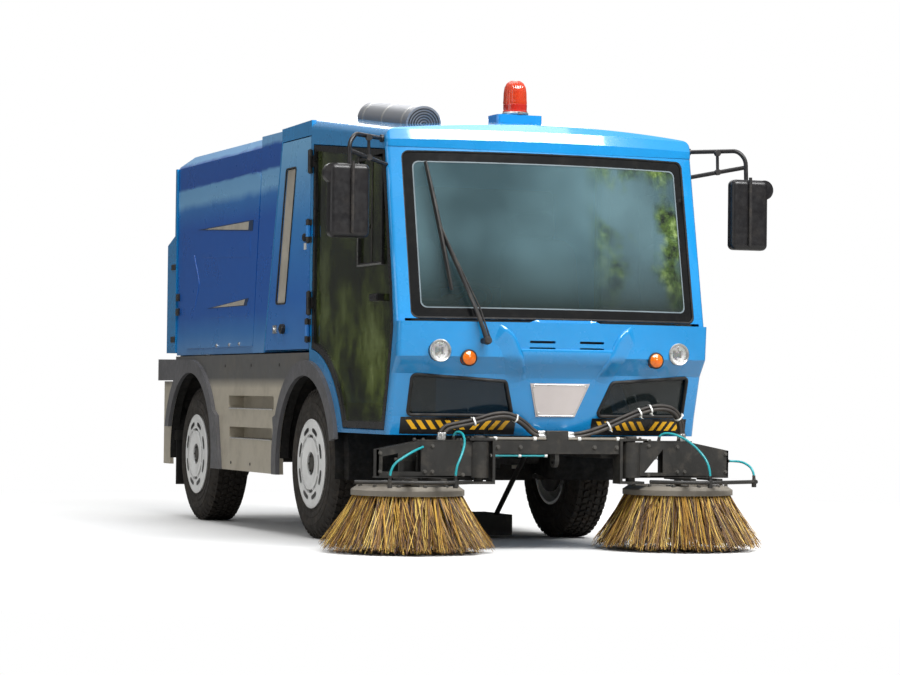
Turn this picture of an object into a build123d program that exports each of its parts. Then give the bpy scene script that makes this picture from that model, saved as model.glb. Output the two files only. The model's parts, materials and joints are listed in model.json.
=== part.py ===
"""Compact street sweeper truck: cab over the front axle, engine bay, tipping hopper, two front brooms.

Millimetres. +Z is up, the truck drives towards -Y, and its own left side is +X. While it is modelled,
Y = 0 is the front axle and Z = 0 the ground; save() then moves every piece by SHIFT_Y, which puts the
origin under the middle of the whole machine.
"""
import os
from math import atan2, degrees, radians, tan

from build123d import *

# ---- running gear ----
WHEELBASE = 2237
TYRE_R = 400
TYRE_W = 235
TREAD_W = 186
TYRE_OUT_X = 800
RIM_R = 222
TRIM_R = 239
TRIM_PROUD = 13
WHEEL_X = TYRE_OUT_X - TYRE_W / 2
KINGPIN_X = 530
KINGPIN_R = 20
HUB_R = 70
PIN_FIT = 0.3            # clearance round pins and between seated faces
STEER_CLEAR = 6

# ---- body ----
BODY_X = 835             # half width of cab, engine bay and skirts
HOPPER_X = 829
CAB_REAR_Y = -55
COWL_Z = 1135
WALL = 40
SHEET = 30
GLASS = 6
CROWN = 155              # how far the front bows out between its corners
CORNER_R = 30
ROOF_REAR_Z = 2120       # underside of the roof at the cab's rear
ROOF_SLOPE = 0.0967
ROOF_TOP_Z = 2236        # upper edge of the roof's side band at the cab's rear
ROOF_TOP_SLOPE = 0.122
ROOF_CROWN = 50
SPLIT_Z = 1000           # hopper and engine bay above, grey side panels below
GREY_TOP_Z = 993
SKIRT_Z = 327
SKIRT_T = 25
FLARE_T = 23
SEAM = 6                 # gap round every door

# ---- frame ----
RAIL_X = 300
RAIL_W = 60
RAIL_Z = TYRE_R + 66
RAIL_H = 108
RAIL_TOP_Z = RAIL_Z + RAIL_H
RAIL_FRONT_Y = -1400
RAIL_REAR_Y = WHEELBASE + 483
CAB_FLOOR_Z = RAIL_TOP_Z + 3
TOW_PIN_R = 17.5         # bore of the front towing eye
JAW_PIN_R = 20           # bore of the rear towing jaw

# ---- brooms ----
BROOM_X = 733
BROOM_Y = -1324
PLATE_R = 280
PLATE_T = 46
BRISTLE_R = 440
BRISTLE_Z = 8
POST_X = 410
POST_Y = -1450
POST_R = 24
BEAM_Z = RAIL_Z + 23
BEAM_H = 65
BEAM_TOP_Z = BEAM_Z + BEAM_H
PLATE_Z = BEAM_Z - 207
ARM_LOW_Z = BEAM_Z - 119
ARM_HIGH_Z = BEAM_Z + 59

# ---- hopper ----
TIP_Y = WHEELBASE + 503
TIP_Z = SPLIT_Z - 38
TIP_R = 20
HOPPER_REAR_Y = WHEELBASE + 418
BULGE_Y = HOPPER_REAR_Y + 205    # rear face of the hopper door's bulge and of the bumper
REAR_END_Y = WHEELBASE + 693
DOOR_HINGE_Y = HOPPER_REAR_Y + 27
DOOR_HINGE_Z = 2196

SHIFT_Y = (BRISTLE_R - BROOM_Y - REAR_END_Y) / 2

os.makedirs("parts", exist_ok=True)


# ---- helpers ----
def save(node, *solids):
    """Write one node: its solids, moved to the final origin."""
    pieces = []
    for shape in solids:
        pieces.extend(shape.solids())
    moved = [Pos(0, SHIFT_Y, 0) * piece for piece in pieces]
    whole = moved[0] if len(moved) == 1 else Compound(moved)
    export_step(whole, f"parts/{node}.step")


def block(x, y, z):
    """A box from (low, high) pairs."""
    size = (x[1] - x[0], y[1] - y[0], z[1] - z[0])
    return Pos((x[0] + x[1]) / 2, (y[0] + y[1]) / 2, (z[0] + z[1]) / 2) * Box(*size)


def side_profile(outline, x_low, x_high):
    """A (Y, Z) outline or face, extruded along X."""
    face = make_face(Polyline(*outline, close=True)) if isinstance(outline, list) else outline
    return Pos(x_low, 0, 0) * extrude(Plane.YZ * face, x_high - x_low)


def front_profile(outline, y_low, y_high):
    """An (X, Z) outline or face, extruded along Y."""
    face = make_face(Polyline(*outline, close=True)) if isinstance(outline, list) else outline
    return Pos(0, y_high, 0) * extrude(Plane.XZ * face, y_high - y_low)


def plan_profile(outline, z_low, z_high):
    """An (X, Y) outline or face, extruded along Z."""
    face = make_face(Polyline(*outline, close=True)) if isinstance(outline, list) else outline
    return Pos(0, 0, z_low) * extrude(face, z_high - z_low)


def rod(start, end, radius):
    """A round bar between two points."""
    start, end = Vector(*start), Vector(*end)
    run = end - start
    seat = Plane(origin=start, z_dir=run.normalized())
    return seat * Cylinder(radius, run.length, align=(Align.CENTER, Align.CENTER, Align.MIN))


def tube(points, radius):
    """A bent bar or hose: straight runs joined by the largest tangent arcs that fit."""
    nodes = [Vector(*point) for point in points]
    radii = []
    for before, here, after in zip(nodes, nodes[1:], nodes[2:]):
        turn = radians((here - before).get_angle(after - here))
        shorter = min((here - before).length, (after - here).length)
        radii.append(0.45 * shorter / tan(turn / 2))
    path = FilletPolyline(*nodes, radius=radii)
    start = Plane(origin=path @ 0, z_dir=path % 0)
    return sweep(start * Circle(radius), path)


def turned(profile, x=0, y=0, z=0):
    """(radius, height) outline revolved about a vertical axis."""
    face = make_face(Polyline(*profile, close=True))
    return Pos(x, y, z) * revolve(Plane.XZ * face, Axis.Z)


def both_sides(solid):
    return [solid, mirror(solid, about=Plane.YZ)]


def roof_z(y):
    """Height of the roof's underside at a place along the cab."""
    return ROOF_REAR_Z + ROOF_SLOPE * (y - CAB_REAR_Y)


def roof_top_z(y):
    """Height of the roof's upper side edge."""
    return ROOF_TOP_Z + ROOF_TOP_SLOPE * (y - CAB_REAR_Y)


# ---- wheels ----
def tyre():
    """One tyre about the X axis: bead, bulged wall, tread with three grooves; outside is +X."""
    half, tread = TYRE_W / 2, TREAD_W / 2
    groove_w, groove_d = 9, 11
    outline = [(-half + 22, RIM_R + 1), (-half + 6, RIM_R + 38), (-half, RIM_R + 92), (-half + 8, TYRE_R - 48),
               (-tread, TYRE_R - 10), (-tread + 12, TYRE_R)]
    for centre in (-44, 0, 44):
        outline += [(centre - groove_w, TYRE_R), (centre - groove_w / 2, TYRE_R - groove_d),
                    (centre + groove_w / 2, TYRE_R - groove_d), (centre + groove_w, TYRE_R)]
    outline += [(tread - 12, TYRE_R), (tread, TYRE_R - 10), (half - 8, TYRE_R - 48), (half, RIM_R + 92),
                (half - 6, RIM_R + 38), (half - 22, RIM_R + 1)]
    return revolve(make_face(Polyline(*outline, close=True)), Axis.X)


def rim():
    """Steel rim with its domed, slotted cover; outside is +X."""
    half = TYRE_W / 2
    cover_x = half - 10
    outline = [(-half + 20, RIM_R), (-half + 20, RIM_R - 14), (-half + 60, RIM_R - 34), (20, RIM_R - 34),
               (20, HUB_R + PIN_FIT), (46, HUB_R + PIN_FIT), (46, RIM_R - 48), (half - 34, RIM_R - 40),
               (cover_x, RIM_R - 60), (cover_x + 12, 120), (cover_x + 4, 62), (cover_x + 12, 62),
               (cover_x + 20, 120), (cover_x + 14, RIM_R - 52), (half + TRIM_PROUD - 10, TRIM_R - 14),
               (half + TRIM_PROUD - 14, TRIM_R), (half - 16, TRIM_R - 6), (half - 22, RIM_R)]
    solid = revolve(make_face(Polyline(*outline, close=True)), Axis.X)
    slot = Plane.YZ * (SlotArc(CenterArc((0, 0), 148, -17, 34), 17))
    window = Pos(half - 30, 0, 0) * extrude(slot, 70)
    for step in range(8):
        solid -= Rot(X=step * 45) * window
    return solid


def at_wheel(solid, side, y):
    """Set a +X wheel piece at one corner of the truck."""
    placed = Pos(WHEEL_X, y, TYRE_R) * solid
    return placed if side > 0 else mirror(placed, about=Plane.YZ)


def wheels():
    tyre_solid, rim_solid = tyre(), rim()
    for axle, y in (("front", 0), ("rear", WHEELBASE)):
        for name, side in (("left", 1), ("right", -1)):
            save(f"tyre_{axle}_{name}", at_wheel(tyre_solid, side, y))
            save(f"rim_{axle}_{name}", at_wheel(rim_solid, side, y))


SPRING_REACH = 430
EYE_R = 22
SPRING_Z = RAIL_Z - 30
LEAF_T = 12
LEAVES = (SPRING_REACH, 320, 210)


def leaf_spring(y):
    """Three stacked leaves, eye to eye, flat on the axle."""
    pack = block((RAIL_X - 30, RAIL_X + 30), (y - SPRING_REACH, y + SPRING_REACH), (SPRING_Z - LEAF_T, SPRING_Z))
    for index, reach in enumerate(LEAVES):
        low = SPRING_Z - LEAF_T * (index + 1)
        pack += block((RAIL_X - 30, RAIL_X + 30), (y - reach, y + reach), (low, low + LEAF_T))
    for end in (-1, 1):
        pack += Pos(RAIL_X, y + end * SPRING_REACH, SPRING_Z) * Rot(Y=90) * Cylinder(EYE_R, 60)
    return pack


KING_HALF = 48           # half height of the axle's boss round each kingpin
BEAM_END_X = 440


def front_axle():
    """Beam between the kingpins, carried under its springs."""
    beam_z = (TYRE_R - 88, TYRE_R - 26)
    boss_z = (TYRE_R - KING_HALF, TYRE_R + KING_HALF)
    beam = block((-BEAM_END_X, BEAM_END_X), (-40, 40), beam_z)
    for side in (-1, 1):
        x, end_x = side * KINGPIN_X, side * BEAM_END_X
        beam += Pos(x, 0, TYRE_R) * Cylinder(40, 2 * KING_HALF)
        beam += block(sorted((end_x, x)), (-34, 34), boss_z)
        beam += block((end_x - 25, end_x + 25), (-40, 40), (beam_z[0], TYRE_R + 20))
        beam += Pos(x, 0, TYRE_R) * Cylinder(KINGPIN_R, 170)
    spring = leaf_spring(0)
    spring += block((RAIL_X - 34, RAIL_X + 34), (-60, 60), (beam_z[1] - 2, SPRING_Z - LEAF_T * len(LEAVES) + 1))
    save("front_axle", beam + spring + mirror(spring, about=Plane.YZ))


def rear_axle():
    """Banjo housing with its tubes and springs; the wheels turn on its two spindles."""
    tube_r = 50
    housing = Pos(0, WHEELBASE, TYRE_R) * Rot(Y=90) * Cylinder(tube_r, 2 * 520)
    housing += Pos(0, WHEELBASE, TYRE_R) * Sphere(125)
    housing += rod((0, WHEELBASE - 230, TYRE_R), (0, WHEELBASE, TYRE_R), 60)
    for side in (-1, 1):
        housing += rod((side * 500, WHEELBASE, TYRE_R), (side * (WHEEL_X + 40), WHEELBASE, TYRE_R), HUB_R)
        housing += Pos(side * 510, WHEELBASE, TYRE_R) * Rot(Y=90) * Cylinder(150, 30)
    spring = leaf_spring(WHEELBASE)
    perch = block((RAIL_X - 34, RAIL_X + 34), (WHEELBASE - 60, WHEELBASE + 60), (RAIL_Z - 80, RAIL_Z - 64))
    housing += spring + perch + mirror(spring, about=Plane.YZ) + mirror(perch, about=Plane.YZ)
    save("rear_axle", housing)


def knuckle():
    """Left steering knuckle: forked yoke on the kingpin, spindle, brake drum and steering arm."""
    reach = KING_HALF + 32
    yoke = block((KINGPIN_X - 34, KINGPIN_X + 58), (-38, 38), (TYRE_R - reach, TYRE_R + reach))
    gap = KING_HALF + STEER_CLEAR
    yoke -= block((KINGPIN_X - 60, KINGPIN_X + 50), (-60, 60), (TYRE_R - gap, TYRE_R + gap))
    yoke -= Pos(KINGPIN_X, 0, TYRE_R) * Cylinder(KINGPIN_R + PIN_FIT, 300)
    yoke += rod((KINGPIN_X + 50, 0, TYRE_R), (WHEEL_X + 40, 0, TYRE_R), HUB_R)
    yoke += rod((KINGPIN_X + 50, 0, TYRE_R), (KINGPIN_X + 66, 0, TYRE_R), 150)
    return yoke + block((KINGPIN_X - 60, KINGPIN_X + 20), (30, 190), (TYRE_R + 58, TYRE_R + 78))


def running_gear():
    wheels()
    front_axle()
    rear_axle()
    left = knuckle()
    save("knuckle_left", left)
    save("knuckle_right", mirror(left, about=Plane.YZ))


# ---- frame and engine ----
POST_TOP_Z = SPLIT_Z - 60
REST_Y = (900, WHEELBASE - 337, WHEELBASE + 323)
OUTRIGGER_Y = (520, WHEELBASE - 737, WHEELBASE + 453)
CROSS_Y = (-1250, -640, WHEELBASE - 737, WHEELBASE + 403)
BRACKET_X = 380


def frame_rails():
    """Left rail with its spring hangers."""
    low, high = RAIL_X - RAIL_W / 2, RAIL_X + RAIL_W / 2
    rail = block((low, high), (RAIL_FRONT_Y, RAIL_REAR_Y), (RAIL_Z, RAIL_Z + RAIL_H))
    for y in (-SPRING_REACH, SPRING_REACH, WHEELBASE - SPRING_REACH, WHEELBASE + SPRING_REACH):
        hanger = block((low, high), (y - 34, y + 34), (RAIL_Z - 42, RAIL_Z))
        hanger -= Pos(RAIL_X, y, RAIL_Z - 30) * Rot(Y=90) * Cylinder(EYE_R + PIN_FIT, RAIL_W + 2)
        hanger -= block((low - 1, high + 1), (y - 40, y + 40), (RAIL_Z - 44, RAIL_Z - 30))
        rail += hanger
    return rail


def tipping_bracket():
    """Left plate that carries the hopper's tipping pin, with its foot on the rail."""
    front_y, foot_z = REST_Y[-1] + 31, RAIL_Z + 20
    plate = side_profile([(front_y, foot_z), (front_y, TIP_Z - 32), (TIP_Y - 40, TIP_Z + 26), (TIP_Y, TIP_Z + 30),
                          (TIP_Y + 26, TIP_Z), (TIP_Y, TIP_Z - 40), (TIP_Y - 80, foot_z)],
                         BRACKET_X - 10, BRACKET_X + 10)
    plate += rod((BRACKET_X - 60, TIP_Y, TIP_Z), (BRACKET_X + 70, TIP_Y, TIP_Z), TIP_R)
    return plate + block((RAIL_X + RAIL_W / 2, BRACKET_X), (front_y + 4, front_y + 49), (foot_z, foot_z + 70))


def chassis():
    """Two rails, crossmembers, side outriggers, and the posts and rests under the hopper."""
    low, high = RAIL_X - RAIL_W / 2, RAIL_X + RAIL_W / 2
    save("frame_rails", *both_sides(frame_rails()))
    save("frame_crossmembers",
         *[block((-low, low), (y - 30, y + 30), (RAIL_Z + 20, RAIL_Z + RAIL_H - 20)) for y in CROSS_Y])
    outriggers = [block((high, BODY_X - SKIRT_T), (y - 20, y + 20), (RAIL_Z + 10, RAIL_Z + 70)) for y in OUTRIGGER_Y]
    save("frame_outriggers", *outriggers, *[mirror(piece, about=Plane.YZ) for piece in outriggers])
    posts = [block((low, high), (y - 30, y + 30), (RAIL_TOP_Z, POST_TOP_Z)) for y in REST_Y]
    save("hopper_posts", *posts, *[mirror(piece, about=Plane.YZ) for piece in posts])
    half = BODY_X - SKIRT_T
    save("hopper_rests", *[block((-half, half), (y - 30, y + 30), (POST_TOP_Z, SPLIT_Z - PIN_FIT)) for y in REST_Y])
    save("tipping_brackets", *both_sides(tipping_bracket()))


def engine():
    """Engine as one closed block on two bearers across the rails."""
    bearer_top = RAIL_TOP_Z + 120
    block_solid = block((-280, 280), (0, 500), (bearer_top, 1480))
    for y in (90, 410):
        block_solid += block((-RAIL_X, RAIL_X), (y - 30, y + 30), (RAIL_TOP_Z, bearer_top))
    save("engine_block", block_solid)


# ---- cab ----
# height, how far forward the middle of the front stands, how much it bows out
LOWER_FRONT = [(CAB_FLOOR_Z, -1405, 115), (669, -1440, 130), (880, -1522, 150), (965, -1590, CROWN),
               (COWL_Z, -1602, CROWN)]
UPPER_FRONT = [(COWL_Z, -1568, CROWN), (2300, -1324, CROWN)]


def cab_plan(front_y, bow, inset):
    """The cab's outline at one height: crowned front, rounded corners, straight sides."""
    half = BODY_X - inset
    front = front_y + inset
    sag = bow * (half / BODY_X) ** 2
    arc = ThreePointArc((-half, front + sag), (0, front), (half, front + sag))
    rest = Polyline((half, front + sag), (half, CAB_REAR_Y - inset), (-half, CAB_REAR_Y - inset), (-half, front + sag))
    face = make_face([arc, rest])
    corners = face.vertices().sort_by(Axis.Y)[:2]
    return fillet(corners, max(CORNER_R - inset, 4))


def cab_volume(levels, inset, floor=0, top=0):
    """Stack of plan outlines; floor and top trim an inner volume's ends."""
    sections = []
    for z, front_y, bow in levels:
        sections.append(Pos(0, 0, z) * cab_plan(front_y, bow, inset))
    parts = [loft([below, above], ruled=True) for below, above in zip(sections, sections[1:])]
    solid = parts[0]
    for part in parts[1:]:
        solid += part
    if floor:
        solid -= block((-2000, 2000), (-2000, 2000), (levels[0][0] - 1, levels[0][0] + floor))
    if top:
        solid -= block((-2000, 2000), (-2000, 2000), (levels[-1][0] - top, levels[-1][0] + 1))
    return solid


ARCH_R = TYRE_R + 100
ARCH_IN_X = 350
HOUSE_T = 25
HUMP_X = ARCH_IN_X - HOUSE_T + 1
HUMP_Z = 920


def wheel_house(extra):
    """Room for the front wheels in the cab floor, or with extra its outer skin."""
    cut = Pos(0, 0, TYRE_R) * Rot(Y=90) * Cylinder(ARCH_R + extra, 2 * (BODY_X + 50))
    return cut - block((-ARCH_IN_X + extra, ARCH_IN_X - extra), (-700, 700), (0, 1000))


def roof_cut(lift=0):
    """Everything above the roof's underside."""
    y_low, y_high = -1800, 200
    return side_profile([(y_low, roof_z(y_low) + lift), (y_high, roof_z(y_high) + lift), (y_high, 2600),
                         (y_low, 2600)], -1000, 1000)


POST_LINE = [(-1390, COWL_Z + 0.1), (-1386, 1110), (-1340, 880), (-1264, CAB_FLOOR_Z - 1)]  # the nose panel's rear edge
DOOR_FRONT = [(-1213, 1950), (-1337, 1336), (-1368, 1110), (-1322, 880), (-1248, CAB_FLOOR_Z + 26)]
DOOR_REAR_Y = -92
DOOR_ARC_R = TYRE_R + 240
DOOR_T = 35


def door_face(inset=0):
    """(Y, Z) outline of a cab door: bowed front edge, bottom edge, arc round the wheel, straight rear."""
    front = [(y + inset, z) for y, z in DOOR_FRONT]
    top_z = roof_z(DOOR_REAR_Y) - 20 - inset
    front[0] = (front[0][0], roof_z(front[0][0]) - 20 - inset)
    front[-1] = (front[-1][0], front[-1][1] + inset)
    outline = front + [(DOOR_REAR_Y - inset, front[-1][1]), (DOOR_REAR_Y - inset, top_z)]
    face = make_face(Polyline(*outline, close=True))
    return face - Pos(-20, TYRE_R - 20) * Circle(DOOR_ARC_R + inset)


def lower_window(inset=0):
    """(X, Z) outline of one low front window beside the nose."""
    points = [(744 - inset, 676 + inset), (744 - inset, 876 - inset), (286 + inset, 846 - inset),
              (226 + inset, 676 + inset)]
    return fillet(make_face(Polyline(*points, close=True)).vertices(), 22 - inset / 2)


def screen_face(inset=0):
    """(X, Z) outline of the windscreen."""
    half, low, high = 766 - inset, COWL_Z + 14 + inset, 1984 - inset
    return fillet(make_face(Polyline((-half, low), (half, low), (half, high), (-half, high), close=True)).vertices(),
                  36 - inset / 2)


def cab():
    lower_out = cab_volume(LOWER_FRONT, 0)
    lower_in = cab_volume(LOWER_FRONT, WALL, floor=SHEET)
    upper_out = cab_volume(UPPER_FRONT, 0)
    upper_in = cab_volume(UPPER_FRONT, WALL)
    lower = (lower_out - wheel_house(0)) - (lower_in - wheel_house(HOUSE_T))
    upper = (upper_out - upper_in) - roof_cut()
    front_zone = side_profile(POST_LINE + [(-1800, CAB_FLOOR_Z - 1), (-1800, COWL_Z + 0.1)], -1000, 1000)
    panel = lower & front_zone
    shell = (lower - front_zone) + upper
    shell += block((-HUMP_X, HUMP_X), (-620, CAB_REAR_Y - WALL / 2), (CAB_FLOOR_Z + SHEET / 2, HUMP_Z))
    shell -= block((-BODY_X + WALL, BODY_X - WALL), (-1560, CAB_REAR_Y - WALL), (COWL_Z - 60, COWL_Z + 13.9))
    door_hole = side_profile(door_face(-SEAM), BODY_X - WALL - 60, BODY_X + 5)
    shell -= door_hole
    shell -= mirror(door_hole, about=Plane.YZ)
    shell -= front_profile(screen_face(), -1700, -900)
    rear_window = fillet(make_face(Polyline((-560, 1360), (560, 1360), (560, 1900), (-560, 1900),
                                            close=True)).vertices(), 40)
    shell -= front_profile(rear_window, CAB_REAR_Y - WALL - 5, CAB_REAR_Y + 5)
    save("cab_frame", shell)
    pane_y = CAB_REAR_Y - WALL / 2
    back_pane = front_profile(rear_window, pane_y - GLASS / 2, pane_y + GLASS / 2)
    front_panel(panel)
    glass_layer = cab_volume(UPPER_FRONT, 12) - cab_volume(UPPER_FRONT, 12 + GLASS)
    screen = glass_layer & front_profile(screen_face(PIN_FIT), -1700, -900)
    low_layer = cab_volume(LOWER_FRONT, 14) - cab_volume(LOWER_FRONT, 14 + GLASS)
    pane = low_layer & front_profile(lower_window(PIN_FIT), -1700, -1200)
    save("cab_glass", screen, back_pane, *both_sides(pane))


PLATE_PROUD = 5
LAMP = (641, 992, 52)        # x, z, radius
INDICATOR = (502, 958, 37)


def front_panel(panel):
    """Blue nose panel: lamp seats, two rows of vents, V-shaped nose and the low window openings."""
    window = front_profile(lower_window(), -1700, -1200)
    panel -= window
    panel -= mirror(window, about=Plane.YZ)
    for x, z, radius in (LAMP, INDICATOR):
        for side in (-1, 1):
            panel -= Pos(side * x, -1500, z) * Rot(X=90) * Cylinder(radius, 400)
    for row_z in (1040, 1008):
        for side in (-1, 1):
            vent = front_profile(SlotOverall(135, 12), -1700, -1400)
            panel -= Pos(side * 132, 0, row_z) * vent
    save("front_panel", panel)


def lamp(x, z, radius, face_y):
    """Round lamp with a domed lens, seated through the panel."""
    body = Pos(x, face_y + 30, z) * Rot(X=90) * Cylinder(radius - PIN_FIT, 60)
    dome = Pos(x, face_y, z) * Rot(X=90) * Cone(radius - 3, radius * 0.6, 12, align=(Align.CENTER, Align.CENTER, Align.MIN))
    return body + dome


def lamps():
    save("headlamps", *both_sides(lamp(*LAMP, -1508)))
    save("indicators", *both_sides(lamp(*INDICATOR, -1530)))
    plate_pts = [(-160, 838), (160, 838), (104, 672), (-104, 672)]
    plate_zone = front_profile(plate_pts, -1700, -1200)
    proud = [(z, y - PLATE_PROUD, bow) for z, y, bow in LOWER_FRONT]
    layer = cab_volume(proud, 0) - cab_volume(LOWER_FRONT, 0)
    save("nose_plate", layer & plate_zone)


ROOF_SHOULDER_R = 55
# height, how far forward the middle of the roof's front stands, how much it bows out
ROOF_FRONT = [(1700, -1390, CROWN), (2040, -1390, CROWN), (2092, -1372, CROWN), (2128, -1326, CROWN),
              (2300, -1000, CROWN)]


def roof_volume(inset):
    """The roof down to below its underside: crowned across, rounded shoulders, bevelled front."""
    half = BODY_X - inset
    sections = []
    for y in (CAB_REAR_Y - inset, -1500):
        edge_z = roof_top_z(y) - inset
        arc = ThreePointArc((-half, edge_z), (0, edge_z + ROOF_CROWN), (half, edge_z))
        rest = Polyline((half, edge_z), (half, 1700), (-half, 1700), (-half, edge_z))
        face = make_face([arc, rest])
        face = fillet(face.vertices().sort_by(Axis.Y)[-2:], ROOF_SHOULDER_R - inset)
        sections.append(Plane.XZ.offset(-y) * face)
    return loft(sections, ruled=True) & cab_volume(ROOF_FRONT, inset)


def roof():
    y_low, y_high = -1800, 400
    under = side_profile([(y_low, 1000), (y_high, 1000), (y_high, roof_z(y_high)), (y_low, roof_z(y_low))], -1000, 1000)
    save("cab_roof", roof_volume(0) - roof_volume(WALL) - under)


def door_parts():
    """Left door: frame with a slider bar, hinge knuckles and a handle; its glass is a separate pane."""
    slab = side_profile(door_face(), BODY_X - DOOR_T, BODY_X)
    border = 34
    hole = side_profile(door_face(border), BODY_X - DOOR_T - 5, BODY_X + 5)
    frame = slab - hole
    bar = slab & block((BODY_X - DOOR_T, BODY_X), (-1010, -985), (1100, 2200))
    frame += bar
    rail = slab & block((BODY_X - DOOR_T, BODY_X), (-1400, -985), (1300, 1325))
    frame += rail
    frame += block((BODY_X - 2, BODY_X + 22), (-1330, -1190), (1214, 1250))
    pane = side_profile(door_face(border + PIN_FIT), BODY_X - DOOR_T / 2 - GLASS / 2, BODY_X - DOOR_T / 2 + GLASS / 2)
    pane -= block((0, 1000), (-1010 - PIN_FIT, -985 + PIN_FIT), (1100 - PIN_FIT, 2200))
    pane -= block((0, 1000), (-1400, -985 + PIN_FIT), (1300 - PIN_FIT, 1325 + PIN_FIT))
    return frame, pane


CAB_HINGE = (BODY_X + 14, -74)           # x, y of the cab door's pin
CAB_HINGE_Z = (1255, 2010)
ENGINE_HINGE = (BODY_X + 14, -52)
ENGINE_HINGE_Z = (1110, 1640)
KNUCKLE_H = 60
HINGE_PIN_R = 7


def hinge_leaf(pin, z, toward, reach):
    """A knuckle on the pin and its leaf, running along Y by reach on the side it is bolted to."""
    x, y = pin
    heights = (z - KNUCKLE_H / 2, z + KNUCKLE_H / 2)
    ring = Pos(x, y, z) * Cylinder(HINGE_PIN_R + 6, KNUCKLE_H)
    leaf = block((BODY_X + 1, BODY_X + 7), sorted((y, y + toward * reach)), heights)
    foot = block((BODY_X - 1, BODY_X + 3), sorted((y + toward * 25, y + toward * reach)), heights)
    return (ring + leaf + foot) - Pos(x, y, z) * Cylinder(HINGE_PIN_R + PIN_FIT, 3 * KNUCKLE_H)


def fixed_hinge(pin, heights, toward):
    """Pin with a bracket above and below each moving knuckle."""
    x, y = pin
    solids = []
    for z in heights:
        post = Pos(x, y, z) * Cylinder(HINGE_PIN_R, 2.2 * KNUCKLE_H)
        for end in (-1, 1):
            centre = z + end * (KNUCKLE_H / 2 + 16)
            post += Pos(x, y, centre) * Cylinder(HINGE_PIN_R + 6, 30)
            post += block((BODY_X, BODY_X + 7), sorted((y, y + toward * 26)), (centre - 15, centre + 15))
        solids.append(post)
    return solids


def doors():
    frame, pane = door_parts()
    for z in CAB_HINGE_Z:
        frame += hinge_leaf(CAB_HINGE, z, -1, 44)
    save("door_left", frame)
    save("door_right", mirror(frame, about=Plane.YZ))
    save("door_glass_left", pane)
    save("door_glass_right", mirror(pane, about=Plane.YZ))
    pins = fixed_hinge(CAB_HINGE, CAB_HINGE_Z, 1) + fixed_hinge(ENGINE_HINGE, ENGINE_HINGE_Z, -1)
    save("hinge_pins", *pins, *[mirror(pin, about=Plane.YZ) for pin in pins])


def seat(x):
    """Driver's seat: cushion, backrest and pedestal."""
    side = 1 if x > 0 else -1
    base = block(sorted((side * (HUMP_X + PIN_FIT), x + side * 150)), (-480, -160), (780, 1000))
    base -= Pos(0, 0, TYRE_R) * Rot(Y=90) * Cylinder(ARCH_R + HOUSE_T, 2000)
    cushion = block((x - 230, x + 230), (-700, -200), (1000, 1110))
    back = side_profile([(-290, 1090), (-180, 1750), (-100, 1750), (-190, 1090)], x - 220, x + 220)
    return base + fillet(cushion.edges(), 30) + back


def interior():
    """Seats on the wheel houses, engine hump between them, dashboard, column and wheel."""
    save("seats", seat(-400), seat(400))
    dash_side = [(-1360, 900), (-1400, 1110), (-1300, 1150), (-1120, 1120), (-1090, 1040), (-1150, 900)]
    dash = side_profile(dash_side, -720, 720)
    dash += block((-60, 60), (-1330, -1180), (CAB_FLOOR_Z + SHEET, 905))
    save("dashboard", dash)
    centre, lean = Vector(-400, -1000, 1250), Vector(0, 0.42, 0.91)
    tilt = Plane(origin=centre, z_dir=lean.normalized())
    wheel = tilt * Torus(205, 15)
    for angle in (90, 210, 330):
        wheel += tilt * (Rot(Z=angle) * (Pos(103, 0, 0) * Box(206, 30, 12)))
    wheel += tilt * Cylinder(45, 40)
    column = rod(tuple(centre), tuple(centre - lean * 330), 22) - side_profile(dash_side, -720, 720)
    save("steering_wheel", wheel + column.solids().sort_by(Axis.Z)[-1])


# ---- engine bay and its doors ----
def bay_face(inset):
    points = [(CAB_REAR_Y + inset, SPLIT_Z + 5), (CAB_REAR_Y + inset, 2234 - inset), (470 - inset, 2226 - inset),
              (466 - inset, 2165), (770 - inset, SPLIT_Z + 5)]
    return make_face(Polyline(*points, close=True))


def engine_door_face(inset=0):
    points = [(-42 + inset, 1012 + inset), (-42 + inset, 2147 - inset), (452 - inset, 2147 - inset),
              (748 - inset, 1012 + inset)]
    return make_face(Polyline(*points, close=True))


def slot_face():
    """The slanted air slot in each engine door."""
    return make_face(Polyline((204, 2000), (379, 2000), (547, 1265), (374, 1265), close=True))


def engine_bay():
    shell = side_profile(bay_face(0), -BODY_X, BODY_X) - side_profile(bay_face(SHEET), -BODY_X + SHEET, BODY_X - SHEET)
    hole = side_profile(engine_door_face(-SEAM), BODY_X - SHEET - 5, BODY_X + 5)
    shell -= hole
    shell -= mirror(hole, about=Plane.YZ)
    save("engine_bay", shell)
    door = side_profile(engine_door_face(), BODY_X - SHEET, BODY_X)
    door -= side_profile(slot_face(), BODY_X - SHEET - 5, BODY_X + 5)
    slats = 24
    for index in range(slats):
        z = 1265 + (index + 0.5) * (2000 - 1265) / slats
        share = (2000 - z) / (2000 - 1265)
        y_low, y_high = 204 + 170 * share, 379 + 168 * share
        door += block((BODY_X - SHEET + 4, BODY_X - SHEET + 9), (y_low - 5, y_high + 5), (z - 9, z + 9))
    door += Pos(BODY_X + 8, 400, 1126) * Rot(Y=90) * Cylinder(26, 22)
    for z in ENGINE_HINGE_Z:
        door += hinge_leaf(ENGINE_HINGE, z, 1, 60)
    save("engine_door_left", door)
    save("engine_door_right", mirror(door, about=Plane.YZ))


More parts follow.
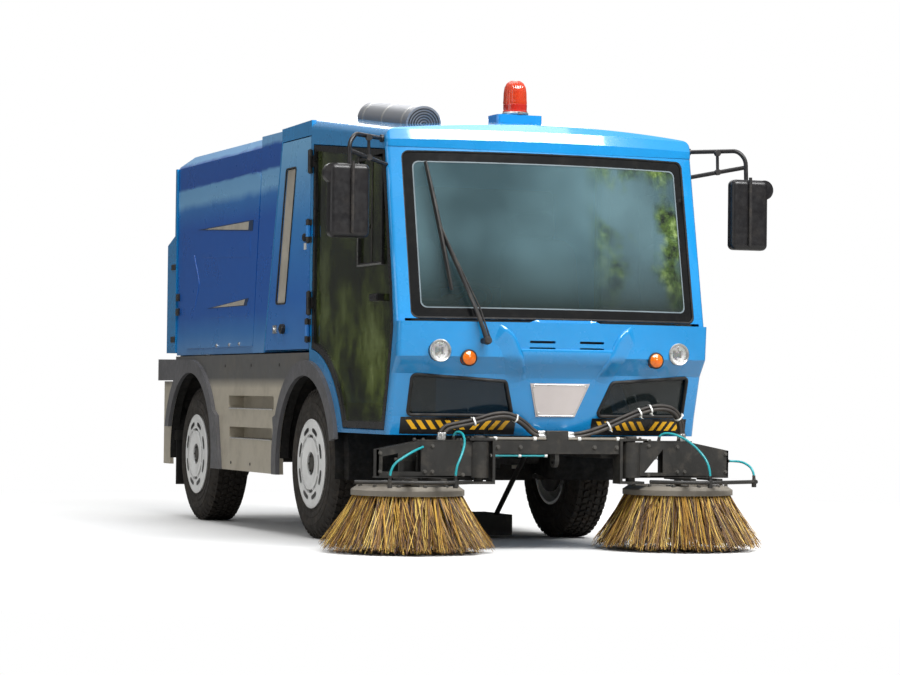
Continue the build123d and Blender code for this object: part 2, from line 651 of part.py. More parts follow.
# ---- hopper ----
HOPPER_OUT = [(785, SPLIT_Z), (480, 2165), (486, 2216), (HOPPER_REAR_Y - 215, 2220), (HOPPER_REAR_Y, 2172),
              (HOPPER_REAR_Y, SPLIT_Z)]
HOPPER_T = 22
HOPPER_IN = [(785 + HOPPER_T, SPLIT_Z + HOPPER_T), (480 + HOPPER_T, 2165), (486 + HOPPER_T, 2216 - HOPPER_T),
             (HOPPER_REAR_Y - 217, 2220 - HOPPER_T), (HOPPER_REAR_Y + 5, 2172 - HOPPER_T), (HOPPER_REAR_Y + 5, SPLIT_Z + HOPPER_T)]
PANEL_OUT = [(1000, SPLIT_Z + 40), (880, 2010), (980, 2030), (HOPPER_REAR_Y - 275, 2010),
             (HOPPER_REAR_Y - 185, 1930), (HOPPER_REAR_Y - 235, SPLIT_Z + 40)]


def hopper():
    """Tipping load box, open at the rear, with a raised side panel that has two wedge-shaped pockets."""
    chamfer = 70
    outer = side_profile(HOPPER_OUT, -HOPPER_X + 14, HOPPER_X - 14)
    slope = front_profile([(-HOPPER_X - 5, 2130), (-HOPPER_X + chamfer, 2240), (-HOPPER_X - 5, 2240)], 860, HOPPER_REAR_Y + 45)
    outer -= slope
    outer -= mirror(slope, about=Plane.YZ)
    panel = side_profile(fillet(make_face(Polyline(*PANEL_OUT, close=True)).vertices(), 30), 0, HOPPER_X)
    outer += panel + mirror(panel, about=Plane.YZ)
    shoulder = side_profile([(785, SPLIT_Z), (480, 2165), (486, 2216), (860, 2217), (860, 2010), (1000, SPLIT_Z)],
                            -HOPPER_X, HOPPER_X)
    outer += shoulder
    inner = side_profile(HOPPER_IN, -HOPPER_X + 14 + HOPPER_T, HOPPER_X - 14 - HOPPER_T)
    for side in (-1, 1):
        inner -= side_profile([(0, 2050), (4000, 2050), (4000, 3000), (0, 3000)], *sorted((side * 715, side * 1000)))
    box = outer - inner
    tip_y = HOPPER_REAR_Y - 535
    for tip, top, bottom in (((tip_y, 1590), (1080, 1660), (1080, 1560)),
                             ((tip_y - 140, 1220), (1080, 1285), (1090, 1225))):
        wedge = plan_profile([(HOPPER_X + 1, tip[0]), (HOPPER_X + 1, top[0]), (HOPPER_X - 24, top[0])], 0, 2500)
        pocket = wedge & side_profile([tip, top, bottom], 0, 1000)
        box -= pocket
        box -= mirror(pocket, about=Plane.YZ)
    for side in (-1, 1):
        x = side * 420
        ear = side_profile([(HOPPER_REAR_Y - 55, SPLIT_Z + 5), (HOPPER_REAR_Y - 55, SPLIT_Z - 1),
                            (TIP_Y - 34, TIP_Z - 18), (TIP_Y, TIP_Z - 34), (TIP_Y + 34, TIP_Z),
                            (TIP_Y + 24, TIP_Z + 28), (HOPPER_REAR_Y - 5, SPLIT_Z + 5)], x - 10, x + 10)
        ear -= rod((x - 20, TIP_Y, TIP_Z), (x + 20, TIP_Y, TIP_Z), TIP_R + PIN_FIT)
        box += ear
    for x in (-560, 0, 560):
        box += block((x - 60, x - 32), (HOPPER_REAR_Y - 60, DOOR_HINGE_Y + 14), (DOOR_HINGE_Z - 14, DOOR_HINGE_Z + 14))
        box += block((x + 32, x + 60), (HOPPER_REAR_Y - 60, DOOR_HINGE_Y + 14), (DOOR_HINGE_Z - 14, DOOR_HINGE_Z + 14))
        box += rod((x - 60, DOOR_HINGE_Y, DOOR_HINGE_Z), (x + 60, DOOR_HINGE_Y, DOOR_HINGE_Z), 10)
        box += block((x - 60, x + 60), (HOPPER_REAR_Y - 60, HOPPER_REAR_Y - 20), (2150, DOOR_HINGE_Z + 10))
    save("hopper", box)


def hopper_door():
    """Bulged rear door, hung from the top edge."""
    front_y, flat_y = HOPPER_REAR_Y + 5, HOPPER_REAR_Y + 37
    outer = side_profile([(front_y, 2160), (flat_y, 2160), (flat_y, 1745), (BULGE_Y, 1690), (BULGE_Y, SPLIT_Z + 16),
                          (front_y, SPLIT_Z + 16)], -HOPPER_X + 4, HOPPER_X - 4)
    inner = side_profile([(front_y - 5, 2130), (flat_y - 28, 2130), (flat_y - 28, 1726), (BULGE_Y - 28, 1670),
                          (BULGE_Y - 28, SPLIT_Z + 46), (front_y - 5, SPLIT_Z + 46)],
                         -HOPPER_X + 34, HOPPER_X - 34)
    door = outer - inner
    for x in (-560, 0, 560):
        ring = rod((x - 26, DOOR_HINGE_Y, DOOR_HINGE_Z), (x + 26, DOOR_HINGE_Y, DOOR_HINGE_Z), 20)
        ring += block((x - 26, x + 26), (DOOR_HINGE_Y - 10, DOOR_HINGE_Y + 8), (2150, DOOR_HINGE_Z))
        door += ring
        door -= rod((x - 40, DOOR_HINGE_Y, DOOR_HINGE_Z), (x + 40, DOOR_HINGE_Y, DOOR_HINGE_Z), 10 + PIN_FIT)
    save("hopper_door", door)


# ---- grey side panels and flares ----
FRONT_ARCH = (-20, TYRE_R, TYRE_R + 70, TYRE_R + 152)     # centre y, centre z, opening radius, flare's outer radius
REAR_ARCH = (WHEELBASE - 20, TYRE_R, TYRE_R + 92, TYRE_R + 172)


def arch_cut(arch, extra=0):
    y, z, inner, _ = arch
    return Pos(0, y, z) * Rot(Y=90) * Cylinder(inner + extra, 2400)


def skirts():
    """Side panels with two long step pockets, cut away round both wheels."""
    notch_y = HOPPER_REAR_Y - 55
    outline = [(CAB_REAR_Y + 5, GREY_TOP_Z), (notch_y, GREY_TOP_Z), (notch_y, 840), (BULGE_Y, 840),
               (BULGE_Y, SKIRT_Z), (360, SKIRT_Z), (360, 700), (CAB_REAR_Y + 5, 800)]
    panel = side_profile(outline, BODY_X - SKIRT_T, BODY_X)
    rear_y = WHEELBASE - 794
    panel += block((BODY_X - 110, BODY_X - 1), (545, rear_y + 22), (490, 780))
    for (y_low, y_high), (z_low, z_high) in (((567, rear_y), (683, 757)), ((591, rear_y - 24), (512, 578))):
        pocket = block((BODY_X - 90, BODY_X + 5), (y_low, y_high), (z_low, z_high))
        panel -= fillet(pocket.edges().filter_by(Axis.X), 14)
    panel -= arch_cut(FRONT_ARCH, 10)
    panel -= arch_cut(REAR_ARCH, 10)
    save("side_skirts", *both_sides(panel))


def flares():
    """Flat flares proud of the side: front ring with its rear leg, rear ring with its tail along the side."""
    x = (BODY_X, BODY_X + FLARE_T)
    front = ring(FRONT_ARCH, x, [(300, SKIRT_Z), (440, SKIRT_Z), (520, 640), (300, 700)])
    front -= side_profile([(-900, -400), (900, -400), (900, SKIRT_Z), (-900, SKIRT_Z)], 0, 1000)
    front -= side_profile([(-900, 0), (-40, 0), (-40, TYRE_R + 60), (-900, TYRE_R + 200)], 0, 1000)
    leg_y = WHEELBASE - 675
    rear = ring(REAR_ARCH, x, [(leg_y, SKIRT_Z), (leg_y + 218, SKIRT_Z), (leg_y + 218, 700), (leg_y + 78, 640)])
    tail_y = WHEELBASE - 37
    tail = side_profile([(tail_y, 845), (REAR_END_Y, 845), (REAR_END_Y, 978), (tail_y, 971)], *x)
    rear += tail - arch_cut(REAR_ARCH)
    far_y = REAR_END_Y + 1000
    rear -= side_profile([(0, -400), (far_y, -400), (far_y, SKIRT_Z), (0, SKIRT_Z)], 0, 1000)
    rear -= side_profile([(WHEELBASE, 0), (far_y, 0), (far_y, 560), (WHEELBASE, 560)], 0, 1000)
    save("wheel_flares", *both_sides(front), *both_sides(rear))


def ring(arch, x, leg):
    """A flare's round band with one straight leg."""
    y, z, _, outer = arch
    band = Pos((x[0] + x[1]) / 2, y, z) * Rot(Y=90) * Cylinder(outer, x[1] - x[0])
    return band + side_profile(leg, *x) - arch_cut(arch)


def rear_end():
    """Rear crossbeam with the towing jaw in its middle, and the tail lamps on its face."""
    half = BODY_X - SKIRT_T - PIN_FIT
    jaw_y, jaw_z, jaw_gap = BULGE_Y + 34, RAIL_Z + 60, 60
    bumper = block((-half, half), (RAIL_REAR_Y, BULGE_Y), (RAIL_Z, RAIL_Z + 174))
    for side in (-1, 1):
        centre = jaw_z + side * (jaw_gap / 2 + 10)
        bumper += Pos(0, jaw_y, centre) * Cylinder(32, 20)
        bumper += block((-32, 32), (BULGE_Y - 5, jaw_y), (centre - 10, centre + 10))
    bumper -= Pos(0, jaw_y, jaw_z) * Cylinder(JAW_PIN_R, jaw_gap + 60)
    save("rear_bumper", bumper)
    lamp_z = RAIL_Z + 94
    lamps_rear = [Pos(side * 700, BULGE_Y + 14, lamp_z) * Box(190, 28, 90) for side in (-1, 1)]
    save("tail_lamps", *lamps_rear)


# ---- suction ----
def suction():
    """Nozzle dragged between the front wheels and its duct up to the hopper floor."""
    hood = block((-300, 300), (-160, 240), (18, 130)) - block((-270, 270), (-130, 210), (0, 100))
    hood += side_profile([(60, 130), (240, 130), (300, 220), (190, 260)], -120, 120)
    duct = tube([(0, 235, 175), (0, 420, 330), (0, 700, 640), (0, 980, 800), (0, 980, SPLIT_Z - 70)], 95)
    hood += duct
    bore = tube([(0, 235, 175), (0, 420, 330), (0, 700, 640), (0, 980, 800), (0, 980, SPLIT_Z - 70)], 85)
    hood = hood - bore - block((-60, 60), (120, 220), (90, 190))
    for side in (-1, 1):
        x, seat_y = side * 220, CROSS_Y[1] + 30 + PIN_FIT
        hood += block((x - 18, x + 18), (seat_y, seat_y + 26), (RAIL_Z + 26, RAIL_Z + 80))
        hood += rod((x, seat_y + 16, RAIL_Z + 52), (x, -100, 110), 14)
    save("suction_nozzle", hood)


# ---- brooms ----
def broom_beam():
    """Cross beam with a towing eye, and a C-shaped bracket at each end that holds the arm's vertical post."""
    top, low = BEAM_TOP_Z, ARM_LOW_Z - 30
    depth = (POST_Y - 40, RAIL_FRONT_Y)
    beam = block((-POST_X + 60, POST_X - 60), (POST_Y - 30, RAIL_FRONT_Y), (BEAM_Z, top))
    for side in (-1, 1):
        x = side * POST_X
        inner = side * (POST_X - 60)
        beam += block((x - 60, x + 60), depth, (top, top + 12))
        beam += block((x - 60, x + 60), depth, (low, low + 12))
        beam += block(sorted((inner, inner - side * 14)), depth, (low, top + 12))
        beam += Pos(x, POST_Y, (low + top + 12) / 2) * Cylinder(POST_R, top + 12 - low)
    eye_y, eye_z = POST_Y + 10, BEAM_Z - 34
    beam += Pos(0, eye_y, eye_z) * Rot(Y=90) * Cylinder(34, 22)
    beam += block((-11, 11), (eye_y - 34, eye_y + 34), (eye_z, BEAM_Z + 5))
    beam -= Pos(0, eye_y, eye_z) * Rot(Y=90) * Cylinder(TOW_PIN_R, 60)
    save("broom_beam", beam)


def broom_arm():
    """Left arm: eye on the post, side plates with triangular cut-outs, and the broom's motor."""
    low, high = ARM_LOW_Z, ARM_HIGH_Z
    eye = Pos(POST_X, POST_Y, (low + high) / 2) * Cylinder(50, high - low)
    plate_pts = [(POST_X + 30, low), (946, low + 10), (946, high - 40), (700, high), (POST_X + 30, high)]
    arm = front_profile(plate_pts, POST_Y - 22, POST_Y - 12) + front_profile(plate_pts, POST_Y + 30, POST_Y + 40)
    window = front_profile([(560, low + 30), (640, low + 30), (640, high - 30)], POST_Y - 60, POST_Y + 60)
    arm -= window
    arm -= front_profile([(690, low + 34), (860, low + 34), (690, high - 40)], POST_Y - 60, POST_Y + 60)
    arm += block((POST_X + 20, 946), (POST_Y - 22, POST_Y + 40), (low, low + 10))
    arm += block((936, 946), (POST_Y - 22, POST_Y + 40), (low + 10, high - 40))
    arm += block((BROOM_X - 70, BROOM_X + 70), (POST_Y + 30, BROOM_Y + 60), (low, low + 14))
    arm += Pos(BROOM_X, BROOM_Y, low - 10) * Cylinder(70, 20, align=(Align.CENTER, Align.CENTER, Align.MIN))
    arm += Pos(BROOM_X, BROOM_Y, low) * Cylinder(48, 120, align=(Align.CENTER, Align.CENTER, Align.MIN))
    arm += rod((BROOM_X, BROOM_Y, PLATE_Z + PLATE_T / 2), (BROOM_X, BROOM_Y, low + 5), 18)
    arm += eye
    arm -= Pos(POST_X, POST_Y, (low + high) / 2) * Cylinder(POST_R + PIN_FIT, 400)
    bar = tube([(915, POST_Y + 8, low + 34), (1060, POST_Y - 10, low + 2), (1180, -1370, low - 30),
                (1205, -1230, low - 38), (1190, -1120, low - 25)], 9)
    return arm + bar


def broom():
    plate = turned([(18 + PIN_FIT, PLATE_Z), (PLATE_R, PLATE_Z), (PLATE_R, PLATE_Z + 26), (PLATE_R - 30, PLATE_Z + PLATE_T),
                    (PLATE_R - 60, PLATE_Z + PLATE_T), (PLATE_R - 70, PLATE_Z + 20), (60, PLATE_Z + 20),
                    (60, PLATE_Z + PLATE_T), (18 + PIN_FIT, PLATE_Z + PLATE_T)], BROOM_X, BROOM_Y)
    bristles = turned([(150, PLATE_Z), (PLATE_R - 8, PLATE_Z), (BRISTLE_R, BRISTLE_Z), (BRISTLE_R - 130, BRISTLE_Z)],
                      BROOM_X, BROOM_Y)
    return plate, bristles


def brooms():
    broom_beam()
    arm = broom_arm()
    plate, bristles = broom()
    for name, solid in (("broom_arm", arm), ("broom_plate", plate), ("broom_bristles", bristles)):
        save(f"{name}_left", solid)
        save(f"{name}_right", mirror(solid, about=Plane.YZ))


# ---- roof and front fittings ----
def mirror_unit():
    """Left mirror: ladder arm from the door post, housing and round wide-angle glass."""
    foot_y, foot_z = -1190, roof_z(-1190) + 34
    arm_low = rod((805, -1222, 1905), (1070, -1372, 1960), 11) - cab_volume(UPPER_FRONT, 0)
    arm_high = tube([(BODY_X + 7, foot_y, foot_z), (1040, -1362, 2045), (1075, -1380, 2000), (1075, -1388, 1880)], 11)
    arm_high += rod((BODY_X, foot_y, foot_z), (BODY_X + 13, foot_y, foot_z), 19)
    rung = rod((950, -1310, 1936), (950, -1305, 2034), 8)
    housing = block((980, 1186), (-1430, -1350), (1534, 1895))
    housing = fillet(housing.edges(), 28)
    wide = Pos(1165, -1400, 1845) * Rot(X=90) * Cylinder(50, 40)
    return arm_high + rung + housing + wide + arm_low.solids().sort_by(Axis.X)[-1]


def fittings():
    save("mirrors", *both_sides(mirror_unit()))
    base_z = roof_top_z(-870) + ROOF_CROWN
    base = plan_profile(RectangleRounded(250, 150, 20), base_z - 30, base_z + 34)
    base = Pos(0, -870, 0) * base
    ring = Pos(0, -870, base_z + 34) * Cylinder(58, 14, align=(Align.CENTER, Align.CENTER, Align.MIN))
    save("beacon_base", (base + ring) - roof_volume(0))
    lens = turned([(0, 0), (62, 0), (64, 60), (60, 120), (40, 160), (0, 172)], 0, -870, base_z + 48)
    save("beacon_lens", lens)
    intake = Pos(-560, -650, roof_top_z(-650) + 20) * Rot(X=90 + degrees(atan2(ROOF_TOP_SLOPE, 1))) * Cylinder(95, 760)
    save("roof_intake", intake - roof_volume(0))
    boss = rod((-432, -1600, 1042), (-432, -1540, 1042), 15) - cab_volume(LOWER_FRONT, 0)
    arm = tube([(-432, -1590, 1042), (-474, -1580, 1175), (-617, -1408, 1607)], 7)
    blade = rod((-574, -1482, 1289), (-660, -1324, 1926), 8)
    save("wiper", boss + arm + blade)


running_gear()
chassis()
engine()
cab()
lamps()
roof()
doors()
interior()
engine_bay()
hopper()
hopper_door()
skirts()
flares()
rear_end()
suction()
brooms()
fittings()
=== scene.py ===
import json
import random
from math import atan, atan2, ceil, cos, exp, hypot, pi, radians, sin, sqrt, tan

import bmesh
import bpy
from mathutils import Matrix, Vector
from mathutils.bvhtree import BVHTree
from mathutils.geometry import tessellate_polygon

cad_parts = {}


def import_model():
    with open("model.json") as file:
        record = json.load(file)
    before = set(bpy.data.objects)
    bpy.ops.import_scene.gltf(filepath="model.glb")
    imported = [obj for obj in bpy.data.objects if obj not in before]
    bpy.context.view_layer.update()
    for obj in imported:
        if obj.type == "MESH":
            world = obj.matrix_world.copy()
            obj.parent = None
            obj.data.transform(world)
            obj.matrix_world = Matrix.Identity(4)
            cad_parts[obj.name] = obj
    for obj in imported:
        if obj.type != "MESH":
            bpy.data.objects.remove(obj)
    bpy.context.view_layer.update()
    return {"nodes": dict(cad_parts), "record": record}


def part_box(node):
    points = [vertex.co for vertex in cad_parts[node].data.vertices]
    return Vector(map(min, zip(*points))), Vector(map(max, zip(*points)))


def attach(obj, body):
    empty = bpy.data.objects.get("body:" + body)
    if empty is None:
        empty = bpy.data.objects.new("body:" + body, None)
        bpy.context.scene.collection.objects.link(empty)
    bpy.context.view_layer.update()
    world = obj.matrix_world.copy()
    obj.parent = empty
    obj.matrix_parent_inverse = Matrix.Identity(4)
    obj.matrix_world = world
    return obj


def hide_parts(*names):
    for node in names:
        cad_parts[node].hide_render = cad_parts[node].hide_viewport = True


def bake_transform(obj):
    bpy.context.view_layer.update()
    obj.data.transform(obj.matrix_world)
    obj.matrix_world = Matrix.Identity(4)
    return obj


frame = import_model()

# ---- places that the rest works from, in metres ----
tyre_low, tyre_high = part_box("tyre_front_left")
AXLE_Y = (tyre_low[1] + tyre_high[1]) / 2          # front axle
TYRE_R = (tyre_high[2] - tyre_low[2]) / 2
WHEELBASE = 2.237


def at(x, y, z):
    """A place given from the front axle on the ground."""
    return Vector((x, y + AXLE_Y, z))


# ---- materials ----
def srgb(red, green, blue):
    """An 8-bit screen colour as Blender's linear colour."""
    def linear(value):
        value /= 255
        return value / 12.92 if value <= 0.04045 else ((value + 0.055) / 1.055) ** 2.4
    return (linear(red), linear(green), linear(blue), 1)


def shade(color, factor):
    return (color[0] * factor, color[1] * factor, color[2] * factor, 1)


class Nodes:
    """Short calls for building the node tree of one material, or of the world."""

    INPUTS = {"color": "Base Color", "rough": "Roughness", "metal": "Metallic", "coat": "Coat Weight",
              "coat_rough": "Coat Roughness", "ior": "IOR", "sheen": "Sheen Weight", "alpha": "Alpha",
              "inner": "Subsurface Weight", "normal": "Normal", "backdrop": "Color"}

    def __init__(self, name, world=False):
        self.owner = (bpy.data.worlds if world else bpy.data.materials).new(name)
        self.owner.use_nodes = True
        self.tree = self.owner.node_tree
        self.shader = self.tree.nodes["Background" if world else "Principled BSDF"]
        self.place = self.node("TexCoord").outputs["Generated" if world else "Object"]

    def feed(self, target, value):
        """Links a socket to the target, or sets any other value."""
        if isinstance(value, bpy.types.NodeSocket):
            self.tree.links.new(value, target)
        else:
            target.default_value = value

    def node(self, kind, inputs=(), **settings):
        node = self.tree.nodes.new("ShaderNode" + kind)
        for key, value in settings.items():
            setattr(node, key, value)
        for key, value in dict(inputs).items():
            self.feed(node.inputs[key], value)
        return node

    def set(self, **values):
        for key, value in values.items():
            self.feed(self.shader.inputs[self.INPUTS[key]], value)
        return self

    def calc(self, operation, *values):
        return self.node("Math", enumerate(values), operation=operation).outputs["Value"]

    def along(self, axis):
        return self.node("SeparateXYZ", {"Vector": self.place}).outputs[axis]

    def noise(self, scale, detail=4, rough=0.55, stretch=None):
        place = self.place
        if stretch:
            place = self.node("Mapping", {"Vector": place, "Scale": stretch}).outputs["Vector"]
        return self.node("TexNoise", {"Vector": place, "Scale": scale, "Detail": detail,
                                      "Roughness": rough}).outputs["Fac"]

    def ramp(self, source, stops):
        """stops: (position, colour) pairs."""
        node = self.node("ValToRGB", {"Fac": source})
        elements = node.color_ramp.elements
        elements[0].position, elements[0].color = stops[0]
        elements[1].position, elements[1].color = stops[-1]
        for position, color in stops[1:-1]:
            elements.new(position).color = color
        return node.outputs["Color"]

    def drift(self, source, color, dark, light, high=0.7):
        """A colour that wanders between a darker and a lighter shade."""
        return self.ramp(source, [(0.3, shade(color, dark)), (high, shade(color, light))])

    def mix(self, share, first, second):
        return self.node("Mix", {"Factor": share, "A": first, "B": second}, data_type="RGBA").outputs["Result"]

    def range(self, source, low, high, from_low=0.3, from_high=0.7):
        return self.node("MapRange", {"Value": source, "From Min": from_low, "From Max": from_high,
                                      "To Min": low, "To Max": high}).outputs["Result"]

    def height(self, low, high):
        """0 below a height, 1 above another, from the object's own coordinates."""
        return self.range(self.along("Z"), 0, 1, low, high)

    def bump(self, height, strength, distance=0.001):
        node = self.node("Bump", {"Strength": strength, "Distance": distance, "Height": height})
        return self.set(normal=node.outputs["Normal"])

    def skin(self, color, rough=None, grain=None):
        """The colour, a roughness (noise scale, low, high) and a bump (noise scale, detail, strength)."""
        self.set(color=color)
        if rough:
            scale, low, high = rough
            self.set(rough=self.range(self.noise(scale), low, high))
        if grain:
            scale, detail, strength = grain
            self.bump(self.noise(scale, detail), strength)
        return self.owner


ORANGE_PEEL = (260, 2, 0.04)        # noise scale, detail, strength
SIDE_LOW, SIDE_HIGH = 1.0, 2.25     # heights that the sides' painted reflection bands are given between


def paint(name, rgb, rough=0.25, coat=0.6, dust=0.12, dust_rgb=(140, 130, 116)):
    """Gloss coachwork paint: slight mottling, fine orange peel, road dust low down."""
    nodes = Nodes(name).set(rough=rough, coat=coat, coat_rough=0.06)
    mottle = nodes.drift(nodes.noise(2.4, 5), srgb(*rgb), 0.9, 1.08)
    speckle = nodes.range(nodes.noise(9, 6, 0.65), 0, dust, 0.45, 0.75)
    low = nodes.calc("MULTIPLY", nodes.height(1.3, 0.3), speckle)
    return nodes.skin(nodes.mix(low, mottle, srgb(*dust_rgb)), (5, rough * 0.8, rough * 1.35), ORANGE_PEEL)


def skirt_paint():
    """Grey side panels with a painted reflection: dark along the top, pale lower down, with dust in patches."""
    nodes = Nodes("paint_taupe").set(rough=0.42, coat=0.15, coat_rough=0.06)
    # painted reflection: darker above the crease, pale below it
    reflected_grey = nodes.mix(nodes.height(0.8, 0.86), srgb(188, 180, 163), srgb(92, 92, 91))
    patches = nodes.range(nodes.noise(9, 6, 0.65), 0, 0.35, 0.45, 0.75)
    return nodes.skin(nodes.mix(patches, reflected_grey, srgb(120, 112, 98)), (5, 0.34, 0.56), ORANGE_PEEL)


def reflection_band_paint(name, stops):
    """Coachwork blue with painted reflections and highlights: its colour changes with height, standing for what a tall
    glossy side mirrors round it.
    """
    nodes = Nodes(name).set(rough=0.28, coat=0.3, coat_rough=0.08)
    height = nodes.calc("MULTIPLY_ADD", nodes.noise(3.2, 3), 0.05, nodes.height(SIDE_LOW, SIDE_HIGH))
    reflection_tone = nodes.ramp(height, [((z - SIDE_LOW) / (SIDE_HIGH - SIDE_LOW) + 0.025, srgb(*rgb)) for z, rgb in stops])
    return nodes.skin(reflection_tone, (5, 0.26, 0.32), ORANGE_PEEL)


def plastic(name, rgb, rough=0.5, grain=420, depth=0.25, dust=0.25, dust_rgb=(122, 112, 98)):
    """Moulded or powder-coated finish: fine grain, colour drift, dust in patches."""
    nodes = Nodes(name).set(rough=rough)
    drift = nodes.drift(nodes.noise(6, 5), srgb(*rgb), 0.82, 1.18)
    patches = nodes.range(nodes.noise(14, 7, 0.7), 0, dust, 0.5, 0.8)
    return nodes.skin(nodes.mix(patches, drift, srgb(*dust_rgb)), (30, rough * 0.8, min(rough * 1.25, 1)),
                      (grain, 3, depth))


def metal(name, rgb, rough=0.3, brushed=(1, 60, 60)):
    nodes = Nodes(name).set(rough=rough, metal=1)
    streak = nodes.noise(18, 4, 0.6, brushed)
    nodes.set(rough=nodes.range(streak, rough * 0.7, rough * 1.4)).bump(streak, 0.05, 0.0006)
    return nodes.skin(nodes.drift(streak, srgb(*rgb), 0.8, 1.1))


def window_glass():
    """Windscreen with a painted reflection of the pale, blurred outdoors above the cowl and of trees on its right,
    painted shade lower down, and darker low windows in painted shade.
    """
    nodes = Nodes("windscreen").set(rough=0.04, ior=1.45, coat=0.4, coat_rough=0.02)
    # painted reflection of the pale outdoors, with trees mirrored on the right
    pale = nodes.ramp(nodes.noise(1.5, 3, 0.45), [(0.36, srgb(64, 88, 94)), (0.64, srgb(102, 134, 142))])
    leaves = nodes.ramp(nodes.noise(11, 7, 0.7), [(0.4, srgb(26, 36, 20)), (0.52, srgb(84, 110, 44)),
                                                  (0.66, srgb(170, 196, 120))])
    right = nodes.calc("MULTIPLY", nodes.range(nodes.along("X"), 0, 0.95, 0.16, 0.34),
                       nodes.range(nodes.noise(2.6, 4), 0, 1, 0.44, 0.56))
    # painted shade lower down and in the low windows
    upper = nodes.height(1.1, 1.14)
    low = nodes.mix(nodes.height(1.5, 1.2), nodes.mix(right, pale, leaves), srgb(38, 50, 48))
    nodes.set(alpha=nodes.range(upper, 0.66, 0.54, 0, 1))
    return nodes.skin(nodes.mix(upper, srgb(28, 36, 37), low))


def door_pane():
    """Door glass: nearly black painted shade, with a painted reflection of green trees in its lower half."""
    nodes = Nodes("door_glass").set(rough=0.03, ior=1.45, coat=0.4, coat_rough=0.02, alpha=0.8)
    # painted reflection of trees
    trees = nodes.ramp(nodes.noise(3.4, 8, 0.68, (1, 1, 0.7)), [(0.38, srgb(16, 20, 12)), (0.48, srgb(50, 60, 24)),
                                                                (0.56, srgb(92, 106, 44)), (0.66, srgb(136, 152, 92))])
    # painted shade, deeper towards the top
    shadow = nodes.range(nodes.height(0.85, 1.45), 0.0, 0.7, 0, 1)
    return nodes.skin(nodes.mix(shadow, trees, srgb(26, 30, 24)))


def lens(name, rgb, alpha):
    """Moulded lamp glass with a little light of its own colour scattered in it."""
    nodes = Nodes(name).set(rough=0.08, coat=0.6, coat_rough=0.03, alpha=alpha, inner=0.15)
    return nodes.skin(nodes.drift(nodes.noise(40, 3), srgb(*rgb), 0.86, 1.08), grain=(160, 2, 0.08))


def reflector():
    """Lamp bowl painted bright as a painted reflection, with darker specks as painted shade where its facets look away
    from the light.
    """
    nodes = Nodes("lamp_reflector").set(rough=0.25, coat=0.5, coat_rough=0.05)
    # painted reflection in the bowl, with painted shade in specks
    painted_facet_shade = nodes.ramp(nodes.noise(80, 3), [(0.36, srgb(96, 84, 74)), (0.46, srgb(252, 252, 250))])
    return nodes.skin(painted_facet_shade, grain=(160, 2, 0.2))


PLASTICS = {        # name, colour, roughness, grain, the grain's depth, dust, the dust's colour
    "flare_grey": ("flare_plastic", (94, 94, 97), 0.45),
    "frame_black": ("chassis_black", (38, 37, 35), 0.45),
    "cast_grey": ("casting", (70, 68, 64), 0.6),
    "tyre": ("tyre_rubber", (46, 42, 38), 0.78, 300, 0.3, 0.45, (98, 86, 72)),
    "knob_black": ("knob_black", (20, 20, 21), 0.3, 500, 0.1, 0.05),
    "door_black": ("door_black", (24, 24, 25), 0.3, 500, 0.1, 0.08),
    "interior_grey": ("lining_grey", (72, 74, 75), 0.7),
    "mirror_black": ("mirror_black", (24, 23, 25), 0.35, 500, 0.1, 0.06),
    "seat_cloth": ("seat_cloth", (52, 52, 56), 0.9, 700, 0.5),
    "black_plastic": ("black_plastic", (31, 29, 29), 0.5),
    "lamp_clear": ("lamp_clear", (225, 230, 232), 0.1, 100, 0.05, 0.05),
    "lamp_amber": ("lamp_amber", (226, 104, 20), 0.2, 100, 0.05, 0.05),
    "lamp_red": ("lamp_red", (160, 24, 18), 0.25, 100, 0.05, 0.05),
    "broom_plate": ("broom_plate", (124, 118, 108), 0.6),
    "bristle": ("bristle", (162, 114, 50), 0.6),
    "hose_black": ("hose_black", (52, 48, 45), 0.55, 900, 0.2, 0.35),
    "hose_teal": ("hose_teal", (30, 150, 158), 0.35, 900, 0.05, 0.1),
    "tie_white": ("tie_white", (222, 222, 218), 0.4, 900, 0.05, 0.1),
    "frit": ("printed_border", (14, 15, 16), 0.12, 900, 0.02, 0.05),
    "pale_line": ("border_line", (120, 132, 138), 0.2, 900, 0.02, 0.05),
    "liner_black": ("liner_black", (20, 19, 18), 0.8, 300, 0.3, 0.15),
    "rubber": ("rubber_seal", (26, 25, 25), 0.6, 600, 0.15, 0.15),
    "stripe_black": ("stripe_black", (22, 22, 24), 0.3, 900, 0.03, 0.2),
    "stripe_yellow": ("stripe_yellow", (236, 178, 30), 0.35, 900, 0.03, 0.12, (150, 110, 50)),
    "field_tan": ("field_tan", (176, 170, 158), 0.5, 400, 0.1, 0.2)}
# painted reflections and highlights on the hopper's and engine doors' glossy sides: height, colour
HOPPER_REFLECTION_TONES = [(1.0, (96, 150, 206)), (1.12, (48, 122, 194)), (1.24, (6, 92, 182)), (1.76, (4, 88, 180)),
                (1.88, (40, 116, 192)), (1.93, (120, 178, 224)), (2.01, (112, 172, 220)), (2.03, (2, 80, 168)),
                (2.155, (4, 84, 172)), (2.18, (120, 176, 226))]
ENGINE_REFLECTION_TONES = [(1.0, (60, 128, 198)), (1.3, (26, 108, 194)), (1.7, (50, 134, 206)), (2.1, (120, 180, 224))]
MATERIALS = {key: plastic(*values) for key, values in PLASTICS.items()}
